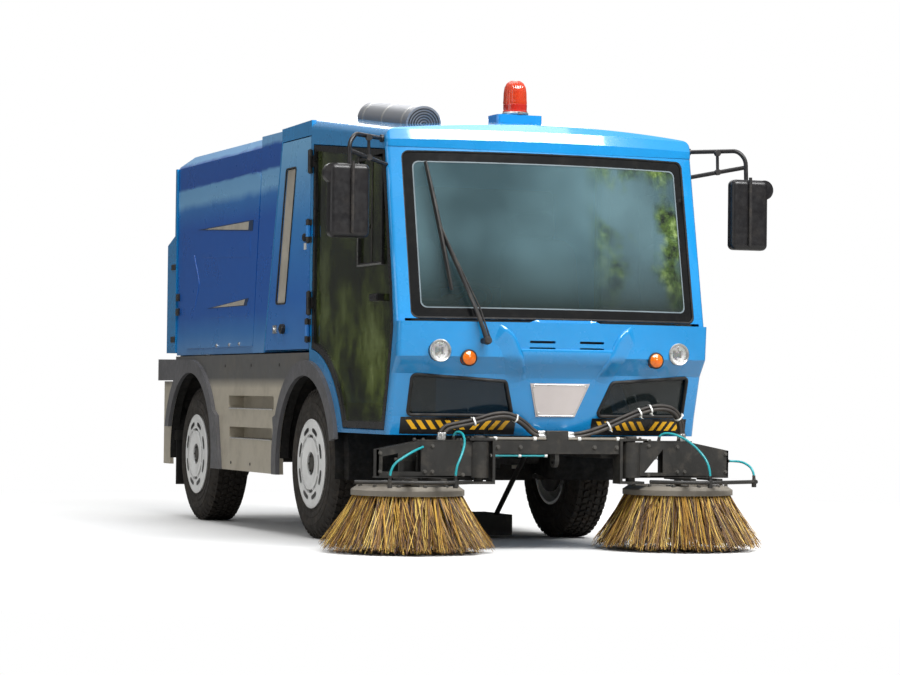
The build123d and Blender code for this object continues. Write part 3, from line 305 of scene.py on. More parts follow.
MATERIALS.update({
    "body_blue": paint("paint_blue", (22, 138, 204), coat=1.0, dust=0.06),
    "rim_white": paint("trim_white", (250, 251, 250), 0.35, 0.3, 0.16, (130, 118, 102)),
    # painted shade for the hopper's pockets
    "pocket_shade_paint": paint("pocket_shade_paint", (16, 50, 88), 0.4, 0.3),
    "plate_grey": paint("plate_pale", (206, 198, 196), 0.35, 0.2, 0.1),
    # the hopper and engine door paints carry painted reflection bands
    "panel_grey": skirt_paint(), "hopper_reflection_blue": reflection_band_paint("hopper_reflection_blue", HOPPER_REFLECTION_TONES),
    "engine_reflection_blue": reflection_band_paint("engine_reflection_blue", ENGINE_REFLECTION_TONES), "glass": window_glass(), "door_glass": door_pane(),
    "intake_steel": metal("intake_steel", (172, 174, 179), 0.42), "silver": metal("brushed_silver", (214, 214, 212)),
    "mirror": metal("lamp_mirror", (236, 238, 240), 0.08, (1, 1, 1)), "reflector": reflector(),
    "clear_lens": lens("clear_lens", (252, 252, 252), 0.1), "amber_lens": lens("amber_lens", (244, 120, 20), 0.86),
    "beacon_amber": lens("beacon_amber", (204, 56, 14), 0.88), "beacon_red": lens("beacon_red", (196, 40, 26), 0.9)})
# the record's slot for each finish that isn't one of the record's own
SLOT_OF = {"hopper_reflection_blue": "body_blue", "pocket_shade_paint": "body_blue", "door_glass": "glass", "liner_black": "frame_black",
           "field_tan": "panel_grey", "tie_white": "plate_grey", "clear_lens": "lamp_clear", "beacon_red": "lamp_red",
           **dict.fromkeys(("amber_lens", "beacon_amber", "stripe_yellow"), "lamp_amber"),
           **dict.fromkeys(("mirror", "reflector", "pale_line"), "silver"),
           **dict.fromkeys(("frit", "rubber", "knob_black", "hose_black", "hose_teal", "stripe_black"),
                           "black_plastic")}
slots = {row["node"]: row["material_slot"] for row in frame["record"]["subparts"]}
# the hopper and engine doors take paints with painted reflection bands
OWN_FINISH = {"mirrors": "mirror_black", "roof_intake": "intake_steel", "hopper": "hopper_reflection_blue",
              "engine_door_left": "engine_reflection_blue", "engine_door_right": "engine_reflection_blue"}
for name, node in frame["nodes"].items():
    node.data.materials.clear()
    node.data.materials.append(MATERIALS[OWN_FINISH.get(name, slots[name])])

# ---- mesh helpers ----
SIDES = {"left": 1, "right": -1}
UP, AHEAD = (0, 0, 1), (0, -1, 0)


def add_piece(name, mesh, material, body="root", slot=None, replaces=(), smooth=True, bevel=0.0):
    """A finished mesh as one object that rides on a body."""
    obj = bpy.data.objects.new(name, mesh)
    bpy.context.scene.collection.objects.link(obj)
    slot = slot or SLOT_OF.get(material, material)
    mesh.materials.append(MATERIALS[material] if isinstance(material, str) else material)
    if smooth:
        mesh.shade_smooth()
        mesh.set_sharp_from_angle(angle=radians(32))
    if bevel:
        rounding = obj.modifiers.new("rounding", "BEVEL")
        rounding.width, rounding.segments, rounding.limit_method = bevel, 2, "ANGLE"
    if body:
        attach(obj, body)
    if replaces:
        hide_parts(*replaces)
    return obj


def rect(x_low, z_low, x_high, z_high):
    """The corners of a rectangle, in order."""
    return [(x_low, z_low), (x_high, z_low), (x_high, z_high), (x_low, z_high)]


def spokes(axis, count, start=0.0, sweep=2 * pi):
    """Unit directions square to an axis, turned round it from first to last."""
    across = axis.orthogonal().normalized()
    third = axis.cross(across)
    angles = [start + sweep * step / count for step in range(count + 1)]
    return [across * cos(angle) + third * sin(angle) for angle in angles]


class Build:
    """One mesh made up of several simple forms. Points that meet become one when the mesh is made."""

    def __init__(self):
        self.verts, self.faces = [], []

    def add(self, verts, faces):
        first = len(self.verts)
        self.verts += [tuple(v) for v in verts]
        self.faces += [tuple(first + i for i in face) for face in faces]
        return self

    def sheet(self, rows):
        """Rows of points joined into a surface."""
        width = len(rows[0])
        corners = [row * width + col for row in range(len(rows) - 1) for col in range(width - 1)]
        return self.add([p for row in rows for p in row], [(i, i + 1, i + width + 1, i + width) for i in corners])

    def loft(self, first, second):
        """Two outlines of one count joined, with both ends closed."""
        for outline in (first, second):
            self.add(outline, [range(len(outline))])
        return self.sheet([first + first[:1], second + second[:1]])

    def prism(self, outline, depth):
        """An outline of points, swept by a vector."""
        return self.loft([Vector(p) for p in outline], [Vector(p) + Vector(depth) for p in outline])

    def pierced(self, outline, hole, depth):
        """A plate with one opening through it: two outlines of points, swept by a vector."""
        edge = len(outline)
        levels = [[Vector(p) + Vector(depth) * share for p in outline + hole] for share in (0, 1)]
        flat = tessellate_polygon([levels[0][:edge], levels[0][edge:]])
        for level in levels:
            self.add(level, flat)
        for part in (slice(0, edge), slice(edge, None)):
            self.sheet([level[part] + level[part][:1] for level in levels])
        return self

    def slab(self, sign, x_low, x_high, points):
        """An outline of (y, z) points on one side of the truck, given depth along X."""
        return self.prism(side_plane(sign, x_low, points), (sign * (x_high - x_low), 0, 0))

    def box(self, first, second):
        """A block between any two opposite corners."""
        (x, y, z), (x_far, y_far, z_far) = first, second
        return self.prism([(x, y, z), (x_far, y, z), (x_far, y_far, z), (x, y_far, z)], (0, 0, z_far - z))

    def lathe(self, profile, place, axis, steps=32, start=0.0, sweep=2 * pi):
        """(radius, along) pairs turned about an axis through a place."""
        axis = Vector(axis).normalized()
        return self.sheet([[Vector(place) + axis * along + out * radius for radius, along in profile]
                           for out in spokes(axis, steps, start, sweep)])

    def disc(self, place, axis, radius, length, bevel=0.15, steps=24):
        """A short round boss with softened rims, standing on a place."""
        cut = min(radius, length) * bevel
        profile = [(0, 0), (radius, 0), (radius, length - cut), (radius - cut, length), (0, length)]
        return self.lathe(profile, place, axis, steps)

    def hexagon(self, place, axis, radius, length):
        """Bolt head: a bevelled hexagon on a washer."""
        self.disc(place, axis, radius * 1.35, length * 0.25, steps=16)
        top = Vector(place) + Vector(axis).normalized() * length * 0.25
        profile = [(0, 0), (radius, 0), (radius, length * 0.65), (radius * 0.85, length * 0.75), (0, length * 0.75)]
        return self.lathe(profile, top, axis, 6)

    def bolts(self, places, axis, radius, length):
        for place in places:
            self.hexagon(place, axis, radius, length)
        return self

    def tube(self, path, radius, steps=10, closed=False):
        """A round bar along points; radius may be one number or one for each point."""
        path = [Vector(p) for p in path]
        radii = [radius] * len(path) if isinstance(radius, (int, float)) else radius
        rows, normal = [], None
        for index, point in enumerate(path):
            before = path[index - 1] if index or closed else point
            after = path[(index + 1) % len(path)] if index + 1 < len(path) or closed else point
            along = (after - before).normalized()
            normal = along.orthogonal() if normal is None else normal - along * normal.dot(along)
            normal.normalize()
            third = along.cross(normal)
            angles = [2 * pi * step / steps for step in range(steps + 1)]
            rows.append([point + (normal * cos(a) + third * sin(a)) * radii[index] for a in angles])
        if not closed:
            for row in (rows[0], rows[-1]):
                self.add(row[:-1], [range(steps)])
        return self.sheet(rows + rows[:1] if closed else rows)

    def band(self, node, outer, inner, proud):
        """A flat ring between two outlines of one count, laid on a node's front."""
        return self.sheet([[on_front(node, x, z, lift) for x, z in outline + outline[:1]] for outline, lift in
                           ((outer, -0.001), (outer, proud), (inner, proud), (inner, -0.001))])

    def trace(self, node, outline, radius, proud):
        """A bar along a closed (x, z) outline on a node's front."""
        return self.tube([on_front(node, x, z, proud) for x, z in outline], radius, 8, closed=True)

    def mesh(self, name):
        data = bpy.data.meshes.new(name)
        data.from_pydata(self.verts, [], self.faces)
        form = bmesh.new()
        form.from_mesh(data)
        bmesh.ops.remove_doubles(form, verts=form.verts, dist=1e-5)
        bmesh.ops.recalc_face_normals(form, faces=form.faces)
        form.to_mesh(data)
        form.free()
        return data

    def piece(self, name, material, body="root", **options):
        return add_piece(name, self.mesh(name), material, body, **options)


# ---- brooms ----
BROOM_X, BROOM_Y = 0.733, -1.324        # the left broom's middle
POST = (0.41, -1.45)                    # the left arm's post
plate_low, plate_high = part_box("broom_plate_left")
bristle_low, bristle_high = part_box("broom_bristles_left")
PLATE_R = (plate_high[0] - plate_low[0]) / 2
BRISTLE_R = (bristle_high[0] - bristle_low[0]) / 2
PLATE_Z = plate_low[2]
TUFTS, STRANDS = 620, 5                 # tufts of a broom, strands of a tuft
SEEDS = {"left": 11, "right": 12}


def strand(build, root, tip, width, sag):
    """One flat bristle: three sides, drooping outward as it nears the ground."""
    run = tip - root
    side = Vector((-run.y, run.x, 0)).normalized() * width
    deep = run.cross(side).normalized() * width * 0.6
    points = []
    for share in (0, 0.4, 0.75, 1):
        centre = root + run * share
        centre += Vector((run.x, run.y, 0)).normalized() * sag * (share ** 2 - share)
        thin = 1 - 0.45 * share
        points += [centre + side * thin, centre - side * thin, centre + deep * thin]
    faces = []
    for first in (0, 3, 6):
        for edge in range(3):
            other = (edge + 1) % 3
            faces.append((first + edge, first + other, first + 3 + other, first + 3 + edge))
    faces += [(2, 1, 0), (9, 10, 11)]
    build.add(points, faces)


def bristle_mesh(name, seed):
    rng = random.Random(seed)
    build = Build()
    centre = at(BROOM_X, BROOM_Y, 0)
    for tuft in range(TUFTS):
        ring = tuft % 3
        angle = 2 * pi * (tuft + rng.uniform(-0.35, 0.35)) / TUFTS
        root_r = PLATE_R * (0.94, 0.84, 0.72)[ring] + rng.uniform(-0.006, 0.006)
        reach = (BRISTLE_R * (0.96, 0.88, 0.78)[ring]) * rng.uniform(0.88, 1.03)
        lift = 0.014 + abs(rng.gauss(0, 0.02)) + (0.03 if rng.random() < 0.08 else 0)
        lean = rng.gauss(0, 0.13)
        for _ in range(STRANDS):
            out_r = min(reach + rng.gauss(0, 0.009), BRISTLE_R - 0.004)
            turn = angle + lean + rng.gauss(0, 0.06)
            root_turn = angle + rng.gauss(0, 0.004)
            root = centre + Vector((cos(root_turn) * root_r, sin(root_turn) * root_r, PLATE_Z + 0.004))
            tip_z = max(lift + rng.gauss(0, 0.006), 0.009)
            tip = centre + Vector((cos(turn) * out_r, sin(turn) * out_r, tip_z))
            strand(build, root, tip, rng.uniform(0.0016, 0.0032), rng.uniform(0.0, 0.05))
    return build.mesh(name)


def bristle_material():
    """Split yellow and tan strands: each has its own colour, darker and browner towards the ground."""
    nodes = Nodes("bristle_strands").set(rough=0.55, sheen=0.1)
    island = nodes.node("NewGeometry").outputs["Random Per Island"]
    tint = nodes.ramp(island, [(0.0, srgb(38, 24, 10)), (0.34, srgb(90, 56, 22)), (0.54, srgb(182, 136, 38)),
                               (0.66, srgb(118, 78, 36)), (0.84, srgb(210, 168, 60)), (1.0, srgb(228, 200, 108))])
    # darker and browner towards the ground
    low_darkening = nodes.mix(nodes.height(0.3, 0.0), tint, srgb(84, 50, 26))
    return nodes.skin(nodes.mix(nodes.range(nodes.noise(22, 5), 0, 0.8, 0.4, 0.7), tint, low_darkening))


BRISTLES = bristle_material()


def brooms(side, sign):
    mesh = bristle_mesh(f"bristles_{side}", SEEDS[side])
    if sign < 0:
        mesh.transform(Matrix.Diagonal((-1, 1, 1, 1)))
        mesh.flip_normals()
    add_piece(f"bristles_{side}", mesh, BRISTLES, f"broom_{side}", "bristle", [f"broom_bristles_{side}"], smooth=False)


# ---- tyres ----
WHEELS = [(axle, side) for axle in ("front", "rear") for side in SIDES]
LUGS = 52            # blocks round each shoulder


def tyre_mesh(axle, side):
    """Carcass turned from its section, with rings on the wall and five rows of tread blocks."""
    low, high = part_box(f"tyre_{axle}_{side}")
    centre = (Vector(low) + Vector(high)) / 2
    half = (high[0] - low[0]) / 2
    sign = SIDES[side]
    radius = TYRE_R - 0.011
    bead = 0.223
    wall = [(bead, half - 0.022), (bead + 0.012, half - 0.014), (bead + 0.02, half - 0.006),
            (bead + 0.036, half - 0.006), (bead + 0.04, half - 0.003), (bead + 0.062, half - 0.001),
            (bead + 0.066, half - 0.004), (bead + 0.08, half), (bead + 0.104, half), (bead + 0.108, half - 0.004),
            (bead + 0.13, half - 0.009), (radius - 0.012, half - 0.022), (radius, half - 0.036)]
    profile = wall + [(radius, x) for x in (0.045, 0.0, -0.045)] + [(r, -x) for r, x in reversed(wall)]
    build = Build().lathe(profile, centre, (sign, 0, 0), 84)
    rows = ((-0.074, 0.027, 52, 0.35), (-0.037, 0.028, 58, -0.3), (0.0, 0.024, 58, 0.3), (0.037, 0.028, 58, 0.3),
            (0.074, 0.027, 52, -0.35))
    for row, (across, width, count, slant) in enumerate(rows):
        for block in range(count):
            angle = 2 * pi * (block + 0.5 * (row % 2)) / count
            tread_block(build, centre, sign, across, width, angle, 2 * pi / count * 0.64, slant, radius)
    for edge in (-1, 1):
        for lug in range(LUGS):
            angle = 2 * pi * (lug + 0.25) / LUGS
            shoulder_lug(build, centre, sign * edge, angle, radius, half)
    return build.mesh(f"tyre_{axle}_{side}_tread")


def wheel_point(centre, sign, across, angle, radius):
    return centre + Vector((sign * across, cos(angle) * radius, sin(angle) * radius))


def tread_block(build, centre, sign, across, width, angle, arc, slant, radius):
    levels = []
    for lift, shrink in ((-0.003, 1.0), (0.0102, 0.9)):
        levels.append([wheel_point(centre, sign, across + edge * width / 2 * shrink,
                                   angle + turn * arc / 2 * shrink + slant * edge * arc * 0.5, radius + lift)
                       for edge, turn in ((-1, -1), (1, -1), (1, 1), (-1, 1))])
    build.loft(*levels)


def shoulder_lug(build, centre, sign, angle, radius, half):
    arc = 2 * pi / LUGS * 0.52
    section = [(half - 0.034, radius + 0.006), (half - 0.02, radius - 0.008), (half - 0.0075, radius - 0.04),
               (half - 0.016, radius - 0.044), (half - 0.04, radius - 0.006)]
    build.loft(*([wheel_point(centre, sign, across, angle + turn * arc, r) for across, r in section]
                 for turn in (-0.5, 0.5)))


def tyres(axle, side):
    add_piece(f"tread_{axle}_{side}", tyre_mesh(axle, side), "tyre", f"wheel_{axle}_{side}", "tyre",
              [f"tyre_{axle}_{side}"])


SLOT_R = 0.184       # middle of the slots in the wheel trims


def hubs(axle, side):
    """Dark hub in the middle of each trim, its ring of nuts, dark sheets on the trim for its slots, painted as the
    black drum in shade, and the drum itself behind the trim.
    """
    low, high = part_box(f"rim_{axle}_{side}")
    sign = SIDES[side]
    centre = (Vector(low) + Vector(high)) / 2
    outer = high[0] if sign > 0 else low[0]
    axis, wheel = (sign, 0, 0), f"wheel_{axle}_{side}"
    face = Vector((outer - sign * 0.026, centre.y, centre.z))
    hub = Build().lathe([(0, 0.016), (0.03, 0.016), (0.036, 0.01), (0.052, 0.008), (0.058, 0), (0.06, -0.02)], face,
                        axis, 32)
    hub.bolts([face + Vector((sign * 0.007, cos(pi / 3 * nut) * 0.044, sin(pi / 3 * nut) * 0.044))
               for nut in range(6)], axis, 0.0055, 0.009)
    hub.piece(f"hub_{axle}_{side}", "cast_grey", wheel)
    # the slots: dark sheets laid on the trim, the black drum's colour with painted shade
    slot_shade_sheets = Build()
    for slot in range(8):
        middle = pi / 4 * (slot + 0.5)
        angles = [middle + radians(turn) for turn in (-13, -11.5, -7, 0, 7, 11.5, 13)]
        taper = (0.35, 0.8, 1, 1, 1, 0.8, 0.35)
        slot_shade_sheets.sheet([[on_side(f"rim_{axle}_{side}", sign, centre.y - AXLE_Y + cos(a) * (SLOT_R + half * t),
                              centre.z + sin(a) * (SLOT_R + half * t), 0.0018) for a, t in zip(angles, taper)]
                     for half in (-0.012, -0.004, 0.004, 0.012)])
    slot_shade_sheets.piece(f"trim_slot_shade_{axle}_{side}", "knob_black", wheel, smooth=False)
    drum = Build().lathe([(0.062, -0.058), (0.12, -0.058), (0.196, -0.052), (0.2, -0.075)], face, axis, 40)
    drum.piece(f"drum_{axle}_{side}", "frame_black", wheel)


# ---- finding the surface of a CAD node ----
def surface(node):
    if node not in surface.trees:
        mesh = frame["nodes"][node].data
        surface.trees[node] = BVHTree.FromPolygons([v.co[:] for v in mesh.vertices],
                                                   [p.vertices[:] for p in mesh.polygons])
    return surface.trees[node]


surface.trees = {}
FAR = 10            # further out than any part of the truck


def on_front(node, x, z, proud=0.0):
    """The point of a node's front at (x, z), lifted along its normal."""
    place, normal, _, _ = surface(node).ray_cast(Vector((x, -FAR, z)), Vector((0, 1, 0)))
    return place + normal * proud


def on_side(node, sign, y, z, proud=0.0):
    """The point of a node's outer side at (y, z) from the front axle, lifted along X."""
    place, _, _, _ = surface(node).ray_cast(Vector((sign * FAR, y + AXLE_Y, z)), Vector((-sign, 0, 0)))
    return place + Vector((sign * proud, 0, 0))


def rounded(points, radius, steps=4):
    """A closed outline of 2-D points with each corner rounded."""
    out = []
    count = len(points)
    for index, point in enumerate(points):
        here = Vector(point)
        back = (Vector(points[index - 1]) - here).normalized()
        ahead = (Vector(points[(index + 1) % count]) - here).normalized()
        half = back.angle(ahead) / 2
        reach = radius / tan(half)
        centre = here + (back + ahead).normalized() * radius / sin(half)
        first, last = here + back * reach - centre, here + ahead * reach - centre
        for step in range(steps + 1):
            turn = first.lerp(last, step / steps).normalized() * radius
            out.append(tuple(centre + turn))
    return out


def divided(points, longest):
    """A closed 2-D outline with its long edges divided."""
    out = []
    for point, after in zip(points, points[1:] + points[:1]):
        count = max(1, ceil((Vector(after) - Vector(point)).length / longest))
        out += [tuple(Vector(point).lerp(Vector(after), step / count)) for step in range(count)]
    return out


# ---- the cab's front ----
SCREEN_X, SCREEN_LOW, SCREEN_HIGH = 0.766, 1.149, 1.984
LOW_WINDOW = [(0.744, 0.676), (0.744, 0.876), (0.286, 0.846), (0.226, 0.676)]
STRIPE_LOW, STRIPE_HIGH = 0.607, 0.652
STRIPE_SECTION = ((STRIPE_LOW - 0.024, -0.001), (STRIPE_LOW - 0.024, 0.0015), (STRIPE_LOW + 0.012, 0.0015),
                  (STRIPE_HIGH + 0.014, 0.0015), (STRIPE_HIGH + 0.014, -0.001))      # height, lift


def windscreen_trim():
    """Printed black border on the glass, its pale inner line, and the rubber seal round it."""
    def inset_by(inset, radius):
        half = SCREEN_X - inset
        return rounded(rect(-half, SCREEN_LOW + inset, half, SCREEN_HIGH - inset), radius)

    def spread(outline, parts=24):
        return [tuple(Vector(a).lerp(Vector(b), part / parts)) for a, b in zip(outline, outline[1:] + outline[:1])
                for part in range(parts)]

    border = Build().band("cab_glass", spread(inset_by(0.006, 0.034)), spread(inset_by(0.052, 0.03)), 0.0018)
    border.piece("screen_border", "frit", smooth=False)
    Build().band("cab_glass", spread(inset_by(0.052, 0.03)), spread(inset_by(0.058, 0.027)),
                 0.0014).piece("screen_line", "pale_line", smooth=False)
    Build().trace("cab_glass", divided(inset_by(0.003, 0.035), 0.08), 0.0065, 0.004).piece("screen_seal", "rubber")


def low_window_trim(side, sign):
    """The rubber seal round a low window."""
    outline = divided(rounded([(sign * x, z) for x, z in LOW_WINDOW], 0.02), 0.06)
    seal = Build().tube([nose_point(x, z) for x, z in outline], 0.009, 8, closed=True)
    seal.piece(f"low_seal_{side}", "rubber")


# height, how far forward the middle of the nose stands, how much it bows out
NOSE_LEVELS = [(0.577, -1.405, 0.115), (0.669, -1.44, 0.13), (0.88, -1.522, 0.15), (0.965, -1.59, 0.155),
               (1.135, -1.602, 0.155)]
HALF_WIDTH = 0.835


def nose_depth(x, z):
    """How far forward the nose's skin stands at (x, z), across its windows too."""
    for (z_low, y_low, bow_low), (z_high, y_high, bow_high) in zip(NOSE_LEVELS, NOSE_LEVELS[1:]):
        if z <= z_high:
            break
    share = (z - z_low) / (z_high - z_low)
    depths = []
    for front, bow in ((y_low, bow_low), (y_high, bow_high)):
        radius = (HALF_WIDTH ** 2 + bow ** 2) / (2 * bow)
        depths.append(front + radius - sqrt(radius ** 2 - x ** 2))
    return depths[0] + (depths[1] - depths[0]) * share


def nose_point(x, z, proud=0.0):
    """A point of the nose's skin, lifted along its normal."""
    step = 0.002
    slope_x = (nose_depth(x + step, z) - nose_depth(x - step, z)) / (2 * step)
    slope_z = (nose_depth(x, z + step) - nose_depth(x, z - step)) / (2 * step)
    normal = Vector((slope_x, -1, slope_z)).normalized()
    return at(x, nose_depth(x, z), z) + normal * proud


# one of the nose's two ridges, from the cowl down to the plate, and its section: distance outward, height
RIDGE = [(0.352, 1.124), (0.326, 1.112), (0.298, 1.092), (0.274, 1.066), (0.258, 1.036), (0.245, 1.004),
         (0.23, 0.972), (0.212, 0.93), (0.196, 0.89), (0.184, 0.85)]
RIDGE_SECTION = [(-0.002, -0.001), (0.001, 0.008), (0.006, 0.0125), (0.014, 0.014), (0.026, 0.0125), (0.05, 0.008),
                 (0.078, 0.003), (0.1, -0.001)]
LEDGE_SECTION = [(1.007, -0.001), (1.0055, 0.005), (1.001, 0.009), (0.993, 0.01), (0.97, 0.008), (0.93, 0.005),
                 (0.88, 0.002), (0.852, -0.001)]


def ridge_x(z):
    """Where the ridge stands at a height."""
    for (x_high, z_high), (x_low, z_low) in zip(RIDGE, RIDGE[1:]):
        if z_low <= z <= z_high:
            return x_low + (x_high - x_low) * (z - z_low) / (z_high - z_low)
    return RIDGE[-1][0]


def nose_ridges(side, sign):
    """One of the two pressed ridges beside the vents."""
    line = smooth_outline(RIDGE, 4)
    rows = []
    for out, height in RIDGE_SECTION:
        row = []
        for index, (x, z) in enumerate(line):
            before, after = line[max(index - 1, 0)], line[min(index + 1, len(line) - 1)]
            run = (Vector(before) - Vector(after)).normalized()
            fade = min(1, index / 5, (len(line) - 1 - index) / 8)
            row.append(nose_point(sign * (x + run.y * out), z - run.x * out, height * fade - 0.001 * (1 - fade)))
        rows.append(row)
    Build().sheet(rows).piece(f"nose_ridge_{side}", "body_blue")


def nose_ledge():
    """The ledge that joins the ridges under the vents."""
    columns = 30
    shares = [2 * i / columns - 1 for i in range(columns + 1)]
    ledge = Build().sheet([[nose_point(ridge_x(z) * share, z, height) for share in shares]
                           for z, height in LEDGE_SECTION])
    ledge.piece("nose_ledge", "body_blue")


def smooth_outline(points, steps):
    """Points of an open line, with rounded passages between them."""
    out = []
    for index in range(len(points) - 1):
        first, second = points[max(index - 1, 0)], points[index]
        third, fourth = points[index + 1], points[min(index + 2, len(points) - 1)]
        for step in range(steps):
            t = step / steps
            out.append(tuple(0.5 * (2 * b + (c - a) * t + (2 * a - 5 * b + 4 * c - d) * t ** 2
                                    + (3 * b - a - 3 * c + d) * t ** 3)
                             for a, b, c, d in zip(first, second, third, fourth)))
    return out + [points[-1]]


def warning_stripes(side, sign):
    """Black band under each low window with slanted yellow bars that meet in a V."""
    low_x, high_x = (0.205, 0.775) if sign > 0 else (-0.775, -0.205)
    columns = 24
    xs = [low_x + (high_x - low_x) * i / columns for i in range(columns + 1)]
    strip = Build().sheet([[on_front("front_panel", x, z, lift) for x in xs] for z, lift in STRIPE_SECTION])
    strip.piece(f"stripe_band_{side}", "stripe_black", smooth=False)
    bars = Build()
    pitch, width, lean = 0.047, 0.025, 0.034
    vertex = low_x + (high_x - low_x) * 0.62
    count = int((high_x - low_x) / pitch)
    for index in range(-count, count + 1):
        foot = vertex + index * pitch - width / 2
        head = foot + (lean if index >= 0 else -lean)
        if min(foot, head) < low_x + 0.004 or max(foot, head) + width > high_x - 0.004:
            continue
        corners = [(foot, STRIPE_LOW), (foot + width, STRIPE_LOW), (head + width, STRIPE_HIGH), (head, STRIPE_HIGH)]
        bars.prism([on_front("front_panel", x, z, 0.0032) for x, z in corners], (0, 0.002, 0))
    bars.piece(f"stripe_bars_{side}", "stripe_yellow", smooth=False)


def headlamps(side, sign):
    """Bezel, bowl with a painted reflection and painted facet shade, its bulb shield, and a domed glass for each round
    headlamp.
    """
    low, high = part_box("headlamps")
    lamp_x, lamp_z, radius = 0.641, (low[2] + high[2]) / 2, (high[2] - low[2]) / 2
    face = Vector((sign * lamp_x, low[1] + 0.01, lamp_z))
    seat = on_front("front_panel", sign * (lamp_x + radius + 0.012), lamp_z)
    face.y = min(face.y, seat.y - 0.01)
    bezel = Build().lathe([(radius - 0.003, -0.05), (radius + 0.001, 0.004), (radius + 0.004, 0.01),
                           (radius + 0.001, 0.013), (radius - 0.005, 0.009), (radius - 0.007, -0.002)], face, AHEAD,
                          40)
    bezel.piece(f"lamp_bezel_{side}", "silver", replaces=["headlamps"] if sign > 0 else ())
    Build().lathe([(radius - 0.006, 0.0), (radius * 0.8, -0.014), (radius * 0.5, -0.03), (radius * 0.22, -0.036),
                   (0, -0.036)], face, AHEAD, 40).piece(f"lamp_bowl_{side}", "reflector")
    shield = Build().disc(face + Vector((0, 0.03, 0)), AHEAD, 0.011, 0.02, 0.4, 20)
    for offset in (-0.016, 0.016):
        shield.box((face.x + offset - 0.0016, face.y - 0.001, face.z - 0.018),
                   (face.x + offset + 0.0016, face.y + 0.024, face.z + 0.018))
    shield.piece(f"lamp_shield_{side}", "black_plastic")
    Build().lathe([(0, 0.0135), (radius * 0.4, 0.0125), (radius * 0.75, 0.009), (radius - 0.006, 0.004),
                   (radius - 0.006, 0.001), (radius * 0.7, 0.0055), (0, 0.0095)], face, AHEAD,
                  40).piece(f"lamp_lens_{side}", "clear_lens")


def indicators(side, sign):
    """Amber lens with moulded rings, in a narrow dark seat."""
    low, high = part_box("indicators")
    lamp_x, lamp_z, radius = 0.502, (low[2] + high[2]) / 2, (high[2] - low[2]) / 2
    face = Vector((sign * lamp_x, low[1] + 0.01, lamp_z))
    seat = on_front("front_panel", sign * lamp_x, lamp_z + radius + 0.01)
    face.y = min(face.y, seat.y - 0.004)
    glass = Build()
    profile = [(radius - 0.002, -0.03), (radius - 0.002, 0.008)]
    rings = 5
    for ring in range(rings):
        share = ring / rings
        base = radius - 0.003 - share * (radius - 0.006)
        profile += [(base, 0.01 + 0.009 * sin(share * pi / 2)), (base - 0.002, 0.0115 + 0.009 * sin(share * pi / 2))]
    profile.append((0, 0.022))
    glass.lathe(profile, face, AHEAD, 32)
    glass.piece(f"indicator_lens_{side}", "amber_lens", replaces=["indicators"] if sign > 0 else ())
    Build().lathe([(radius - 0.002, -0.02), (radius + 0.005, 0.001), (radius + 0.005, 0.006),
                   (radius - 0.002, 0.008)], face, AHEAD, 32).piece(f"indicator_seat_{side}", "rubber")


def nose_plate_rim():
    """Fine raised rim and four screws on the blank plate."""
    rim = Build()
    corners = [(-0.152, 0.832), (0.152, 0.832), (0.099, 0.678), (-0.099, 0.678)]
    rim.trace("nose_plate", divided(rounded(corners, 0.012), 0.04), 0.0016, 0.0008)
    for x, z in ((-0.138, 0.822), (0.138, 0.822), (-0.092, 0.69), (0.092, 0.69)):
        rim.disc(on_front("nose_plate", x, z, -0.001), (0, -1, -0.3), 0.0045, 0.0035, 0.3, 12)
    rim.piece("plate_rim", "silver")


WASHER_HOLES = ((-0.315, 1.075), (0.305, 1.085))


def cowl_details():
    """Washer jets and blanking grommets beside the wiper."""
    dots = Build()
    for x, z in WASHER_HOLES:
        dots.disc(on_front("front_panel", x, z, -0.002), (0, -1, 0.1), 0.009, 0.006, 0.3, 16)
    dots.piece("cowl_grommets", "rubber")


def wiper_blade():
    """Blade carrier with its claws, and the pantograph arms."""
    pivot = at(-0.432, -1.612, 1.042)
    low_end, high_end = at(-0.574, -1.482, 1.289), at(-0.66, -1.324, 1.926)
    middle = low_end.lerp(high_end, 0.5)
    lift = Vector((0, -0.012, 0.002))
    carrier = Build()
    steps = 8
    path = [low_end.lerp(high_end, i / steps) + lift * (1 + 0.9 * sin(pi * i / steps)) for i in range(steps + 1)]
    carrier.tube(path, [0.005 + 0.004 * sin(pi * i / steps) for i in range(steps + 1)], 6)
    for share in (0.08, 0.3, 0.7, 0.92):
        spot = low_end.lerp(high_end, share)
        carrier.tube([spot + lift * 1.4, spot + Vector((0, -0.003, 0))], 0.006, 6)
    carrier.piece("wiper_carrier", "black_plastic")
    arms = Build()
    elbow = pivot.lerp(middle, 0.28) + Vector((0.006, -0.012, 0))
    arms.tube([pivot + Vector((0.016, -0.004, 0)), elbow + Vector((0.022, 0, 0)), middle + lift * 1.6], 0.0045, 8)
    arms.tube([pivot + Vector((0, -0.002, 0)), elbow, middle + lift * 2.2], [0.012, 0.01, 0.005], 8)
    arms.disc(pivot + Vector((0, 0.012, 0)), (0, -1, 0.08), 0.02, 0.026, 0.3, 20)
    arms.piece("wiper_arms", "black_plastic")


